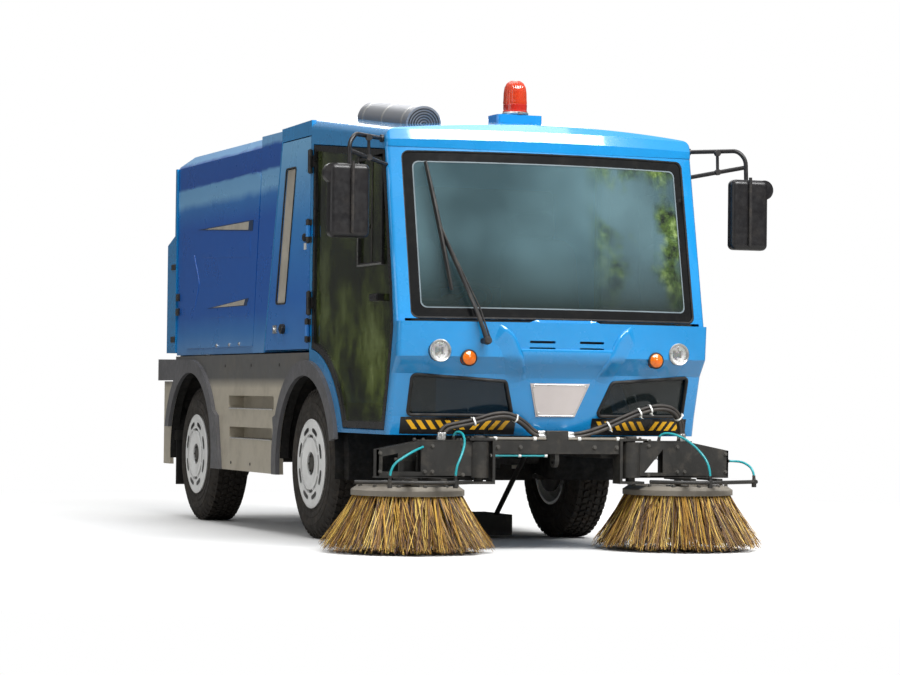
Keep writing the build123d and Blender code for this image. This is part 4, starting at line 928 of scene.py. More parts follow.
def beacon():
    """Ribbed amber dome on a red collar, with the clamp ring and its bulb reflector inside."""
    low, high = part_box("beacon_lens")
    centre = Vector(((low[0] + high[0]) / 2, (low[1] + high[1]) / 2, low[2]))
    height = high[2] - low[2]
    steps = 64
    dome = Build().lathe([(0.06, height * 0.26), (0.0612, height * 0.32), (0.06, height * 0.36),
                          (0.0585, height * 0.62), (0.054, height * 0.78), (0.043, height * 0.9),
                          (0.026, height * 0.97), (0, height)], centre, UP, steps)
    dome.verts = [ribbed(Vector(v), centre, steps) for v in dome.verts]
    dome.piece("beacon_dome", "beacon_amber", replaces=["beacon_lens"])
    Build().lathe([(0.064, 0.0), (0.0645, height * 0.05), (0.0615, height * 0.08), (0.0625, height * 0.25),
                   (0.059, height * 0.27)], centre, UP, steps).piece("beacon_collar", "beacon_red")
    inside = Build().disc(centre, UP, 0.05, 0.012, 0.3, 32)
    inside.lathe([(0.012, 0.012), (0.012, 0.05), (0.03, 0.07), (0.034, 0.115), (0.0, 0.118)], centre, UP, 24,
                 start=0.4, sweep=pi * 1.2)
    inside.tube([centre + Vector((0, 0, 0.05)), centre + Vector((0, 0, 0.095))], 0.01, 12)
    inside.piece("beacon_mirror", "mirror")
    clamp = Build().lathe([(0.06, -0.012), (0.068, -0.01), (0.07, -0.002), (0.066, 0.004), (0.06, 0.003)], centre, UP,
                          48)
    clamp.box(centre + Vector((-0.012, -0.08, -0.011)), centre + Vector((0.012, -0.064, 0.001)))
    clamp.piece("beacon_clamp", "silver")


def ribbed(point, centre, steps):
    """A point of the dome, moved by the upright ribs moulded into it."""
    out = Vector((point.x - centre.x, point.y - centre.y, 0))
    if out.length < 1e-4:
        return tuple(point)
    angle = atan2(out.y, out.x)
    return tuple(point + out.normalized() * 0.0009 * cos(angle * steps / 2))


# ---- hoses: each route's control points in metres, all written for the left side ----
HOSE_R, SPRAY_R = 0.009, 0.006
HOSE_ROUTES = {
    "left": [(0.0603, -1.462, 0.57), (0.122, -1.462, 0.57), (0.232, -1.478, 0.602), (0.34, -1.486, 0.65),
             (0.45, -1.49, 0.696), (0.56, -1.488, 0.722), (0.646, -1.478, 0.7), (0.686, -1.46, 0.628),
             (0.686, -1.46, 0.5563)],
    "right": [(0.0603, -1.462, 0.574), (0.112, -1.462, 0.574), (0.178, -1.47, 0.636), (0.262, -1.478, 0.676),
              (0.35, -1.48, 0.668), (0.43, -1.474, 0.64), (0.512, -1.466, 0.624), (0.6, -1.46, 0.606),
              (0.6, -1.46, 0.5563)]}
SPRAY_ROUTES = {
    "left": [[(0.56, -1.462, 0.5563), (0.56, -1.462, 0.59), (0.612, -1.5, 0.598), (0.68, -1.552, 0.562),
              (0.734, -1.618, 0.49), (0.756, -1.6532, 0.422), (0.756, -1.6532, 0.3653)],
             [(0.9463, -1.441, 0.455), (0.982, -1.441, 0.455), (1.03, -1.478, 0.452), (1.0603, -1.5355, 0.412),
              (1.0603, -1.5355, 0.3653)]],
    "right": [[(0.548, -1.462, 0.5563), (0.548, -1.462, 0.592), (0.52, -1.505, 0.598), (0.52, -1.556, 0.55),
               (0.56, -1.606, 0.48), (0.5962, -1.6243, 0.42), (0.5962, -1.6243, 0.3653)],
              [(0.717, -1.4723, 0.522), (0.717, -1.508, 0.522), (0.764, -1.556, 0.514), (0.84, -1.6, 0.484),
               (0.9247, -1.5987, 0.428), (0.9247, -1.5987, 0.3653)]]}
STEP_BEHIND, STEP_OUT = 0.01, 0.0175    # how far the hoses of a bundle lie apart


def beside(route, across, outward):
    """A hose's points, moved along Y and square to its run in the X-Z plane, so that its ends stay straight."""
    squares = []
    for here, after in zip(route, route[1:]):
        run_x, run_z = after[0] - here[0], after[2] - here[2]
        run = hypot(run_x, run_z)
        squares.append((-run_z / run, run_x / run))
    moved = []
    for (x, y, z), before, after in zip(route, squares[:1] + squares, squares + squares[-1:]):
        share = outward / (1 + before[0] * after[0] + before[1] * after[1])
        moved.append((x + share * (before[0] + after[0]), y + across, z + share * (before[1] + after[1])))
    return moved


def smooth_line(route, sign):
    """Points read from the NURBS spline whose control points are the route's."""
    curve = bpy.data.curves.new("line", "CURVE")
    curve.dimensions = "3D"
    curve.resolution_u = 10
    spline = curve.splines.new("NURBS")
    spline.points.add(len(route) - 1)
    for point, (x, y, z) in zip(spline.points, route):
        point.co = (sign * x, y + AXLE_Y, z, 1)
    spline.order_u = 3
    spline.use_endpoint_u = True
    holder = bpy.data.objects.new("line", curve)
    mesh = bpy.data.meshes.new_from_object(holder)
    line = [v.co.copy() for v in mesh.vertices]
    bpy.data.objects.remove(holder)
    bpy.data.curves.remove(curve)
    bpy.data.meshes.remove(mesh)
    return line


def ferrule(build, line, at_end, radius, length):
    """Swaged metal collar and nut on a hose's end."""
    place, inner = (line[-1], line[-4]) if at_end else (line[0], line[3])
    axis = (inner - place).normalized()
    build.lathe([(0, 0), (radius * 1.5, 0), (radius * 1.5, length * 0.3)], place, axis, 6)
    build.lathe([(radius * 1.5, length * 0.3), (0, length * 0.3)], place, axis, 6)
    build.lathe([(0, length * 0.3), (radius * 1.28, length * 0.3), (radius * 1.33, length * 0.38),
                 (radius * 1.33, length * 0.92), (radius * 1.2, length), (0, length)], place, axis, 16)


TIE_SHARES = {"left": (0.28, 0.5, 0.58, 0.86), "right": (0.3, 0.66)}


def hoses(side, sign):
    """Black hydraulic hoses in threes, their white ties and fittings, and the teal water hoses."""
    route = HOSE_ROUTES[side]
    routes = [route, beside(route, 2 * STEP_BEHIND, 0), beside(route, STEP_BEHIND, STEP_OUT)]
    lines = [smooth_line(points, sign) for points in routes]
    bundle, ends, ties = Build(), Build(), Build()
    for line in lines:
        bundle.tube(line, HOSE_R, 14)
        for at_end in (True, False):
            ferrule(ends, line, at_end, HOSE_R, 0.036)
    for share in TIE_SHARES[side]:
        tie(ties, lines, share)
    arm = f"broom_arm_{side}"
    for name, build, material in (("hose_bundle", bundle, "hose_black"), ("hose_ends", ends, "silver"),
                                  ("hose_ties", ties, "tie_white")):
        piece = build.piece(f"{name}_{side}", material, None)
        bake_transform(piece)
    water, nuts = Build(), Build()
    for points in SPRAY_ROUTES[side]:
        line = smooth_line(points, sign)
        water.tube(line, SPRAY_R, 12)
        for at_end in (False, True):
            ferrule(nuts, line, at_end, SPRAY_R, 0.02)
    water.piece(f"spray_tubes_{side}", "hose_teal", arm)
    nuts.piece(f"spray_nuts_{side}", "black_plastic", arm)


def tie(build, lines, share):
    """White cable tie drawn round three hoses, with its head and cut tail."""
    index = int(share * (len(lines[0]) - 1))
    spots = [line[index] for line in lines]
    along = (lines[0][index + 1] - lines[0][index - 1]).normalized()
    centre = sum(spots, Vector()) / len(spots)
    third = along.cross(along.orthogonal().normalized())
    steps = 30
    loop = [centre + out * (max((spot - centre).dot(out) for spot in spots) + HOSE_R + 0.0016)
            for out in spokes(along, steps)]
    rows = [[point + along * shift for point in loop] for shift in (-0.004, 0.004)]
    outer = [[centre + (point - centre) * 1.08 for point in row] for row in rows]
    build.sheet([rows[0], outer[0], outer[1], rows[1], rows[0]])
    head = loop[int(steps * 0.62)]
    out = (head - centre).normalized()
    build.box(head - Vector((0.006, 0.006, 0.005)) + out * 0.003, head + Vector((0.006, 0.006, 0.005)) + out * 0.003)
    build.tube([head + out * 0.005, head + out * 0.018 + third * 0.01, head + out * 0.03 + third * 0.024], 0.0018, 6)


# ---- sides ----
def side_plane(sign, x, points):
    """Points of the side at one X, from (y, z) pairs given from the front axle."""
    return [at(sign * x, y, z) for y, z in points]


FIELD = [(0.204, 2.0), (0.379, 2.0), (0.547, 1.265), (0.374, 1.265)]
BODY_X = 0.835


def engine_door_trim(side, sign):
    """Tan liner with its rubber edge, round knob, latch, and the door's buffer and tab."""
    body = f"engine_door_{side}"
    liner = Build()
    inset = [(y * 0.97 + 0.011, z * 0.985 + 0.024) for y, z in FIELD]
    liner.slab(sign, BODY_X - 0.01, BODY_X - 0.006, inset)
    liner.piece(f"field_liner_{side}", "field_tan", body, smooth=False, bevel=0.001)
    Build().tube(side_plane(sign, BODY_X + 0.001, divided(rounded(FIELD, 0.018), 0.1)), 0.0045, 8,
                 closed=True).piece(f"field_edge_{side}", "rubber", body)
    metal_bits = Build()
    part = Build().lathe([(0.0, 0.01), (0.01, 0.01), (0.014, 0.006), (0.024, 0.004), (0.0275, 0.0),
                          (0.0275, -0.0185)], at(sign * (BODY_X + 0.019), 0.4, 1.126), (sign, 0, 0), 28)
    part.piece(f"door_knob_{side}", "knob_black", body)
    latch = at(sign * (BODY_X + 0.005), 0.551, 1.126)
    metal_bits.slab(sign, BODY_X - 0.001, BODY_X + 0.0068, rect(0.518, 1.103, 0.584, 1.149))
    metal_bits.lathe([(0.0, 0.01), (0.009, 0.01), (0.01, 0.008), (0.01, 0.001), (0.014, 0.001)], latch,
                     (sign, 0, 0), 20)
    for dy, dz in ((-0.024, -0.015), (0.024, -0.015), (-0.024, 0.015), (0.024, 0.015)):
        metal_bits.disc(latch + Vector((sign * 0.0012, dy, dz)), (sign, 0, 0), 0.0032, 0.002, 0.3, 10)
    metal_bits.piece(f"door_metal_{side}", "silver", body)
    Build().lathe([(0.021, -0.004), (0.0225, 0.004), (0.021, 0.011), (0.015, 0.0155), (0, 0.017)],
                  at(sign * BODY_X, 0.035, 1.61), (sign, 0, 0), 24).piece(f"door_buffer_{side}", "rubber", body)
    part = Build().slab(sign, BODY_X - 0.001, BODY_X + 0.004, rect(0.016, 1.545, 0.05, 1.58))
    part.piece(f"door_tab_{side}", "tie_white", body, bevel=0.001)


def door_seals(side, sign):
    """Rubber strips round the cab door opening and down the joint with the engine bay."""
    strip = Build().tube(side_plane(sign, BODY_X - 0.007, [(-0.0855, 1.03), (-0.0855, 1.5), (-0.0855, 2.085)]),
                         0.0048, 8)
    strip.tube(side_plane(sign, BODY_X - 0.006, [(-0.0485, 1.012), (-0.0485, 1.6), (-0.0485, 2.15)]), 0.0045, 8)
    strip.piece(f"door_seals_{side}", "rubber")


DOOR_FRONT = [(-1.213, 1.988), (-1.337, 1.336), (-1.368, 1.11), (-1.322, 0.88), (-1.248, 0.603)]
DOOR_REAR_Y, DOOR_TOP_Z, DOOR_ARC_R, DOOR_T = -0.092, 2.0964, 0.64, 0.035
ARC_Y, ARC_Z = -0.02, 0.38
BORDER = 0.034       # width of the cab doors' frames
SLIDER_Y, SLIDER_Z, SLIDER_W = (-1.19, -0.82), (1.42, 1.97), 0.016


def door_outline(inset):
    """(y, z) of a cab door: bowed front edge, sill, arc round the wheel, straight rear and sloping top."""
    radius, sill = DOOR_ARC_R + inset, DOOR_FRONT[-1][1] + inset
    rear = DOOR_REAR_Y - inset
    first = atan2(sill - ARC_Z, -sqrt(radius ** 2 - (sill - ARC_Z) ** 2))
    last = atan2(sqrt(radius ** 2 - (rear - ARC_Y) ** 2), rear - ARC_Y)
    points = [(y + inset, z) for y, z in DOOR_FRONT]
    points[0], points[-1] = (points[0][0], points[0][1] - inset), (points[-1][0], sill)
    steps = 20
    for step in range(steps + 1):
        angle = first + (last - first) * step / steps
        points.append((ARC_Y + radius * cos(angle), ARC_Z + radius * sin(angle)))
    return points + [(rear, DOOR_TOP_Z - inset)]


def door_frames(side, sign):
    """Each cab door's frame with the sliding pane's own frame, its pane, handle and hinge leaves."""
    body = f"door_{side}"
    inner_x = BODY_X - DOOR_T
    frame_build = Build().pierced(side_plane(sign, inner_x, door_outline(0)),
                                  side_plane(sign, inner_x, door_outline(BORDER)), (sign * DOOR_T, 0, 0))
    (y_low, y_high), (z_low, z_high) = SLIDER_Y, SLIDER_Z
    outer = rect(y_low, z_low, y_high, z_high)
    hole = rect(y_low + SLIDER_W, z_low + SLIDER_W, y_high - SLIDER_W, z_high - SLIDER_W)
    pane_x = BODY_X - DOOR_T / 2 + 0.003
    frame_build.pierced(side_plane(sign, pane_x, outer), side_plane(sign, pane_x, hole),
                        (sign * (BODY_X - pane_x), 0, 0))
    frame_build.box(at(sign * pane_x, y_high - SLIDER_W, z_high - SLIDER_W),
                    at(sign * BODY_X, y_high, z_high + 0.052))
    frame_build.box(at(sign * pane_x, -1.195, 1.238), at(sign * (BODY_X + 0.022), -1.075, 1.274))
    for z in (1.255, 2.01):
        frame_build.lathe([(0.0073, -0.03), (0.013, -0.03), (0.013, 0.03), (0.0073, 0.03), (0.0073, -0.03)],
                          at(sign * (BODY_X + 0.014), -0.074, z), UP, 24)
        frame_build.box(at(sign * (BODY_X - 0.001), -0.118, z - 0.03), at(sign * (BODY_X + 0.007), -0.086, z + 0.03))
    frame_build.piece(f"door_frame_{side}", "door_black", body, replaces=[body])
    pane = Build().slab(sign, pane_x - 0.006, pane_x, door_outline(BORDER + 0.0003))
    pane.piece(f"door_pane_{side}", "door_glass", body, replaces=[f"door_glass_{side}"], smooth=False)


def cab_door_trim(side, sign):
    """Bright lower edge and catch of the sliding pane, and the door's grab handle."""
    body = f"door_{side}"
    bright = Build().slab(sign, BODY_X - 0.001, BODY_X + 0.0025, rect(-1.186, 1.4205, -0.824, 1.4285))
    bright.slab(sign, BODY_X - 0.001, BODY_X + 0.0025, rect(-0.824, 1.4205, -0.8205, 1.968))
    bright.piece(f"slider_edge_{side}", "silver", body, smooth=False)
    seam = Build().box(at(sign * (BODY_X - 0.0145), -1.012, 1.436), at(sign * (BODY_X - 0.0105), -0.998, 1.954))
    seam.disc(at(sign * (BODY_X - 0.0135), -0.965, 1.62), (sign, 0, 0), 0.012, 0.01, 0.3, 16)
    seam.piece(f"slider_bar_{side}", "black_plastic", body, bevel=0.0008)
    grip = Build()
    low, high = at(sign * (BODY_X + 0.0215), -1.188, 1.2435), at(sign * (BODY_X + 0.0265), -1.084, 1.2685)
    grip.box(low, high)
    grip.disc(at(sign * (BODY_X + 0.02), -1.096, 1.256), (sign, 0, 0), 0.0075, 0.01, 0.3, 16)
    grip.piece(f"door_grip_{side}", "door_black", body, bevel=0.002)


HOPPER_X = 0.829
POCKETS = [[(2.166, 1.756), (1.01, 1.757), (1.022, 1.696)], [(1.943, 1.274), (1.087, 1.315), (1.119, 1.273)]]
OLD_POCKETS = [[(2.14, 1.588), (1.07, 1.672), (1.07, 1.548)], [(2.0, 1.218), (1.07, 1.296), (1.08, 1.213)]]


def hopper_trim(side, sign):
    """Bolts, the raised panel's crease, plates over the old pockets, a dark plate of painted shade and a pale plate of
    painted highlight in each new pocket, and clips on the load box.
    """
    bits = Build()
    for y, z in ((1.26, 1.055), (1.46, 1.052), (1.72, 1.05)):
        bits.disc(on_side("hopper", sign, y, z, -0.001), (sign, 0, 0), 0.011, 0.006, 0.3, 20)
        bits.hexagon(on_side("hopper", sign, y, z, 0.004), (sign, 0, 0), 0.006, 0.004)
    bits.piece(f"hopper_bolts_{side}", "silver", "hopper")
    bead = Build()
    line = [(2.232, 1.605), (2.135, 1.47), (2.113, 1.431), (2.135, 1.392), (2.227, 1.27)]
    bead.tube([on_side("hopper", sign, y, z, 0.0) for y, z in line], 0.004, 8)
    bead.piece(f"hopper_crease_{side}", "hopper_reflection_blue", "hopper")
    covers, pockets, highlight_plates = Build(), Build(), Build()
    for outline in OLD_POCKETS:
        covers.slab(sign, HOPPER_X - 0.001, HOPPER_X + 0.0012, outline)
    covers.piece(f"pocket_covers_{side}", "hopper_reflection_blue", "hopper", bevel=0.0006)
    # each new pocket: a dark plate as painted shade, and a pale inner plate as a painted highlight on its tilted face
    for outline in POCKETS:
        pockets.slab(sign, HOPPER_X - 0.001, HOPPER_X + 0.002, outline)
        middle = sum((Vector(point) for point in outline), Vector((0, 0))) / 3
        inner = [tuple(Vector(point).lerp(middle, 0.22)) for point in outline]
        highlight_plates.slab(sign, HOPPER_X, HOPPER_X + 0.0028, inner)
    pockets.piece(f"pocket_painted_shadow_{side}", "pocket_shade_paint", "hopper", smooth=False)
    highlight_plates.piece(f"pocket_painted_highlight_{side}", "field_tan", "hopper", bevel=0.0006)
    clips = Build()
    for z in (1.36, 1.27):
        clips.box(at(sign * 0.814, 2.6, z - 0.022), at(sign * 0.8285, 2.652, z + 0.022))
        clips.tube([at(sign * 0.8265, 2.606, z), at(sign * 0.8265, 2.65, z)], 0.005, 8)
    clips.piece(f"hopper_clips_{side}", "frame_black", "hopper", bevel=0.002)


def skirt_trim(side, sign):
    """Step treads and bright lower lips in the long pockets, and the panels' quarter-turn fasteners."""
    lips, treads, screws = Build(), Build(), Build()
    for y_low, y_high, z in ((0.567, 1.443, 0.683), (0.591, 1.419, 0.512)):
        lips.tube([at(sign * (BODY_X - 0.0005), y, z + 0.001) for y in (y_low + 0.016, y_high - 0.016)], 0.0045, 8)
        count = 26
        for index in range(count):
            y = y_low + 0.024 + (y_high - y_low - 0.048) * index / (count - 1)
            treads.box(at(sign * (BODY_X - 0.08), y - 0.005, z + 0.0005),
                       at(sign * (BODY_X - 0.01), y + 0.005, z + 0.0045))
    for y, z in ((0.47, 0.93), (1.0, 0.93), (1.52, 0.93), (0.5, 0.37), (1.0, 0.37), (1.38, 0.37)):
        screws.disc(on_side("side_skirts", sign, y, z, -0.0005), (sign, 0, 0), 0.009, 0.003, 0.35, 18)
    lips.piece(f"step_lips_{side}", "silver")
    treads.piece(f"step_treads_{side}", "frame_black", smooth=False)
    screws.piece(f"skirt_screws_{side}", "frame_black")


# centre along Y, liner's radius, its inner and outer X, and the angles that it covers
ARCHES = ((-0.02, 0.478, 0.368, 0.831, -8, 178), (2.217, 0.501, 0.45, 0.831, 4, 184))
LINER_DEEPER = 0.032       # how much further the shell stands from the wheel behind the flare


def arch_liners(side, sign):
    """Black liners over the wheels: an arched shell that ends in a wall on the inner side."""
    liners = Build()
    for y, radius, inner, outer, first, last in ARCHES:
        rows = []
        for x, reach in ((outer, radius), (outer - 0.05, radius), (outer - 0.065, radius + LINER_DEEPER),
                         (inner + 0.02, radius + LINER_DEEPER), (inner, radius), (inner, 0.2)):
            row = []
            for step in range(33):
                angle = radians(first + (last - first) * step / 32)
                row.append(at(sign * x, y - cos(angle) * reach, TYRE_R + sin(angle) * reach))
            rows.append(row)
        liners.sheet(rows)
    liners.piece(f"arch_liners_{side}", "liner_black")


# ---- mirrors ----
def mirror_details(side, sign):
    """Glass and rubber rim on each mirror's rear face, clamps on its arm, and the round wide-angle mirror."""
    shell, glass_bits = Build(), Build()
    face = rect(0.998, 1.552, 1.168, 1.877)
    outline = rounded(face, 0.022)
    glass_bits.prism([at(sign * x, -1.3505, z) for x, z in outline], (0, 0.0025, 0))
    rim = [at(sign * x, -1.3495, z) for x, z in divided(outline, 0.05)]
    shell.tube(rim, 0.0045, 8, closed=True)
    for z in (1.6, 1.83):
        shell.tube([at(sign * 1.075, -1.432, z), at(sign * 1.075, -1.412, z)], 0.012, 12)
    shell.tube([at(sign * 1.075, -1.437, 1.555), at(sign * 1.075, -1.4385, 1.72), at(sign * 1.075, -1.437, 1.905)],
               0.0085, 10)
    wide = at(sign * 1.165, -1.379, 1.845)
    glass_bits.lathe([(0.046, 0.0), (0.03, 0.005), (0.0, 0.0075)], wide, (0, 1, 0), 32)
    for spot in ((0.95, -1.31, 1.936), (0.95, -1.305, 2.034)):
        shell.disc(at(sign * spot[0], spot[1] - 0.012, spot[2]), (0, 1, 0), 0.0155, 0.024, 0.2, 16)
    shell.piece(f"mirror_trim_{side}", "black_plastic")
    glass_bits.piece(f"mirror_glass_{side}", "mirror")


# ---- cab inside ----
def cushion_mesh(name, low, high, crown, seams, tilt=0.0):
    """A padded block: bulged faces, soft edges, stitched grooves across it."""
    form = bmesh.new()
    bmesh.ops.create_cube(form, size=1)
    bmesh.ops.subdivide_edges(form, edges=form.edges, cuts=13, use_grid_fill=True)
    size = Vector(high) - Vector(low)
    centre = (Vector(low) + Vector(high)) / 2
    for vert in form.verts:
        u, v, w = (value * 2 for value in vert.co)
        power = 5
        squash = (abs(u) ** power + abs(v) ** power + abs(w) ** power) ** (1 / power)
        scale = max(abs(u), abs(v), abs(w)) / squash if squash else 1
        u, v, w = u * scale, v * scale, w * scale
        groove = max(exp(-((u - seam) / 0.05) ** 2) for seam in seams)
        w *= 1 + crown * (1 - u * u) * (1 - v * v) - 0.1 * groove
        vert.co = (u * size.x / 2, v * size.y / 2, w * size.z / 2)
    form.transform(Matrix.Translation(centre) @ Matrix.Rotation(tilt, 4, "X"))
    data = bpy.data.meshes.new(name)
    form.to_mesh(data)
    form.free()
    data.shade_smooth()
    return data


# half width, low and high corner along Y and Z, seams across it, and how far it leans back
SEAT_PADS = [("cushion", 0.228, (-0.698, 1.002), (-0.202, 1.112), (-0.62, 0.62), 0),
             ("backrest", 0.218, (-0.55, 1.3), (0.01, 1.4), (-0.58, 0.58), 81),
             ("headrest", 0.12, (-0.235, 1.66), (-0.105, 1.745), (0.0,), 81)]


def seats(side, sign):
    """Cloth cushion, backrest and headrest in the CAD seat's place, on a dark pedestal."""
    x = sign * 0.4
    for name, half, (y_low, z_low), (y_high, z_high), seams, tilt in SEAT_PADS:
        mesh = cushion_mesh(name, at(x - half, y_low, z_low), at(x + half, y_high, z_high), 0.1, seams, radians(tilt))
        piece = add_piece(f"{name}_{side}", mesh, "seat_cloth", smooth=False,
                          replaces=["seats"] if (side, name) == ("left", "cushion") else ())
    base = Build().box(at(sign * 0.335, -0.46, 0.93), at(x + sign * 0.14, -0.19, 1.004))
    base.box(at(x - 0.17, -0.62, 0.985), at(x + 0.17, -0.22, 1.004))
    base.piece(f"seat_base_{side}", "black_plastic", bevel=0.004)


def cab_details():
    """Instrument hood, dials and switches seen through the windscreen."""
    half = [(0.2, 0.0), (0.19, 0.05), (0.15, 0.085), (0.08, 0.1)]
    arch = half + [(-x, z) for x, z in reversed(half)]
    hood = Build().sheet([[at(-0.4 + x * grow, y, 1.125 + z * grow) for x, z in arch]
                          for y, grow in ((-1.31, 0.9), (-1.2, 1.0), (-1.13, 0.97))])
    hood.prism([at(-0.4 + x * 0.95, -1.19, 1.125 + z * 0.95) for x, z in arch], (0, -0.012, 0))
    hood.piece("dash_hood", "interior_grey")
    dials = Build()
    for x in (-0.49, -0.4, -0.31):
        dials.lathe([(0.0, 0.003), (0.032, 0.003), (0.036, 0.006), (0.04, 0.004), (0.04, 0.0)], at(x, -1.189, 1.168),
                    (0, 1, 0), 28)
    dials.piece("dash_dials", "black_plastic")
    switches = Build()
    for row in range(2):
        for column in range(6):
            spot = at(0.05 + column * 0.045, -1.118, 1.06 + row * 0.045)
            switches.box(spot + Vector((-0.016, 0.0, -0.012)), spot + Vector((0.016, 0.016, 0.012)))
    switches.piece("dash_switches", "black_plastic", bevel=0.002)


# ---- roof ----
def intake_details():
    """Bands round the roof intake and the mesh in its ends."""
    radius, slope = 0.095, atan(0.122)
    axis = Vector((0, cos(slope), sin(slope)))
    centre = at(-0.56, -0.65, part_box("roof_intake")[1][2] - radius - 0.046)
    bands = Build()
    for along in (-0.3, 0.0, 0.3):
        place = centre + axis * along
        bands.lathe([(radius + lift, y) for lift, y in ((-0.002, -0.011), (0.002, -0.01), (0.002, 0.01),
                                                        (-0.002, 0.011))], place, axis, 40)
    bands.piece("intake_bands", "silver")
    end = Build()
    for sign_end in (-1, 1):
        place = centre + axis * (sign_end * 0.3795)
        for ring in range(1, 7):
            r = radius * ring / 7
            end.lathe([(r - 0.003, 0), (r - 0.003, 0.004), (r + 0.003, 0.004), (r + 0.003, 0)], place,
                      axis * sign_end, 36)
    end.piece("intake_grille", "frame_black")


# ---- arms, beam and broom plates ----
ARM_LOW_Z, ARM_HIGH_Z = 0.37, 0.548
ARM_PLATES = ((-1.472, -1.462), (-1.42, -1.41))
ARM_OUTLINE = [(0.44, ARM_LOW_Z), (0.946, 0.38), (0.946, 0.508), (0.74, ARM_HIGH_Z), (0.44, ARM_HIGH_Z)]
ARM_WINDOWS = {"left": [(0.478, 0.396), (0.58, 0.396), (0.58, 0.514)],
               "right": [(0.718, 0.4), (0.918, 0.4), (0.918, 0.474), (0.718, 0.512)]}
BAR_R, BAR_Z, BAR_START, BAR_BEND, BAR_END = 0.33, 0.352, -50, 25, 64.5
NOZZLES = {"left": (4, 61), "right": (-24.5, 35)}
BAR_STRAPS = (-12, 14)
# blocks of the left arm: their spans along X, Y and Z
ARM_FRONT, ARM_BACK = ARM_PLATES[0][0], ARM_PLATES[1][1]
ARM_BLOCKS = [((0.43, 0.946), (ARM_FRONT, ARM_BACK), (ARM_LOW_Z, 0.38)),
              ((0.936, 0.946), (ARM_FRONT, ARM_BACK), (0.379, 0.508)),
              ((0.498, 0.74), (ARM_FRONT, ARM_BACK), (0.547, 0.556)),
              ((0.663, 0.803), (-1.42, -1.264), (ARM_LOW_Z, 0.384))]
ARM_BOLTS = ((0.5, 0.385), (0.66, 0.4), (0.66, 0.525), (0.7, 0.4), (0.93, 0.4), (0.93, 0.49), (0.5, 0.53))
HOSE_PLATE_BOLTS = ((0.69, -1.418), (0.735, -1.418), (0.51, -1.462), (0.51, -1.42))


def on_bar(angle):
    """X and Y of a point of the left spray bar: round the broom, then straight on."""
    turn = radians(min(angle, BAR_BEND))
    past = BAR_R * radians(max(angle - BAR_BEND, 0))
    return (BROOM_X + BAR_R * sin(turn) + past * cos(turn), BROOM_Y - BAR_R * cos(turn) + past * sin(turn))


def arms(side, sign):
    """Each broom's arm: eye on its post, pierced plates, hose plate, motor, and the bent spray bar."""
    arm = Build()
    for y_low, y_high in ARM_PLATES:
        arm.pierced([at(sign * x, y_low, z) for x, z in ARM_OUTLINE],
                    [at(sign * x, y_low, z) for x, z in ARM_WINDOWS[side]], (0, y_high - y_low, 0))
    for (x_low, x_high), (y_low, y_high), (z_low, z_high) in ARM_BLOCKS:
        arm.box(at(sign * x_low, y_low, z_low), at(sign * x_high, y_high, z_high))
    centre = at(sign * BROOM_X, BROOM_Y, 0)
    for radius, low, high in ((0.07, 0.36, 0.38), (0.048, 0.37, 0.49), (0.018, 0.305, 0.375)):
        arm.disc(centre + Vector((0, 0, low)), UP, radius, high - low, 0.08, 32)
    arm.lathe([(0.0243, 0), (0.048, 0), (0.05, 0.002), (0.05, 0.176), (0.048, 0.178), (0.0243, 0.178), (0.0243, 0)],
              at(sign * POST[0], POST[1], ARM_LOW_Z), UP, 32)
    angles = [BAR_START + (BAR_END - BAR_START) * step / 30 for step in range(31)]
    arm.tube([at(sign * on_bar(angle)[0], on_bar(angle)[1], BAR_Z) for angle in angles], 0.01, 12)
    for angle in BAR_STRAPS:
        x, y = on_bar(angle)
        arm.box(at(sign * (x - 0.016), y, 0.36), at(sign * (x + 0.016), ARM_BACK - 0.002, 0.371))
    for angle in NOZZLES[side]:
        x, y = on_bar(angle)
        arm.disc(at(sign * x, y, 0.325), UP, 0.012, 0.04, 0.2, 16)
    arm.piece(f"arm_{side}", "frame_black", f"broom_arm_{side}", replaces=[f"broom_arm_{side}"])


def hose_block():
    """The block on the beam that the arms' hoses start from."""
    Build().box(at(-0.06, -1.478, 0.55), at(0.06, -1.42, 0.604)).piece("hose_block", "frame_black", bevel=0.003)


def bolt_circle(sign, radius, z, count, start=0.0):
    """Places round a broom's middle."""
    angles = [start + 2 * pi * index / count for index in range(count)]
    return [at(sign * (BROOM_X + radius * cos(a)), BROOM_Y + radius * sin(a), z) for a in angles]


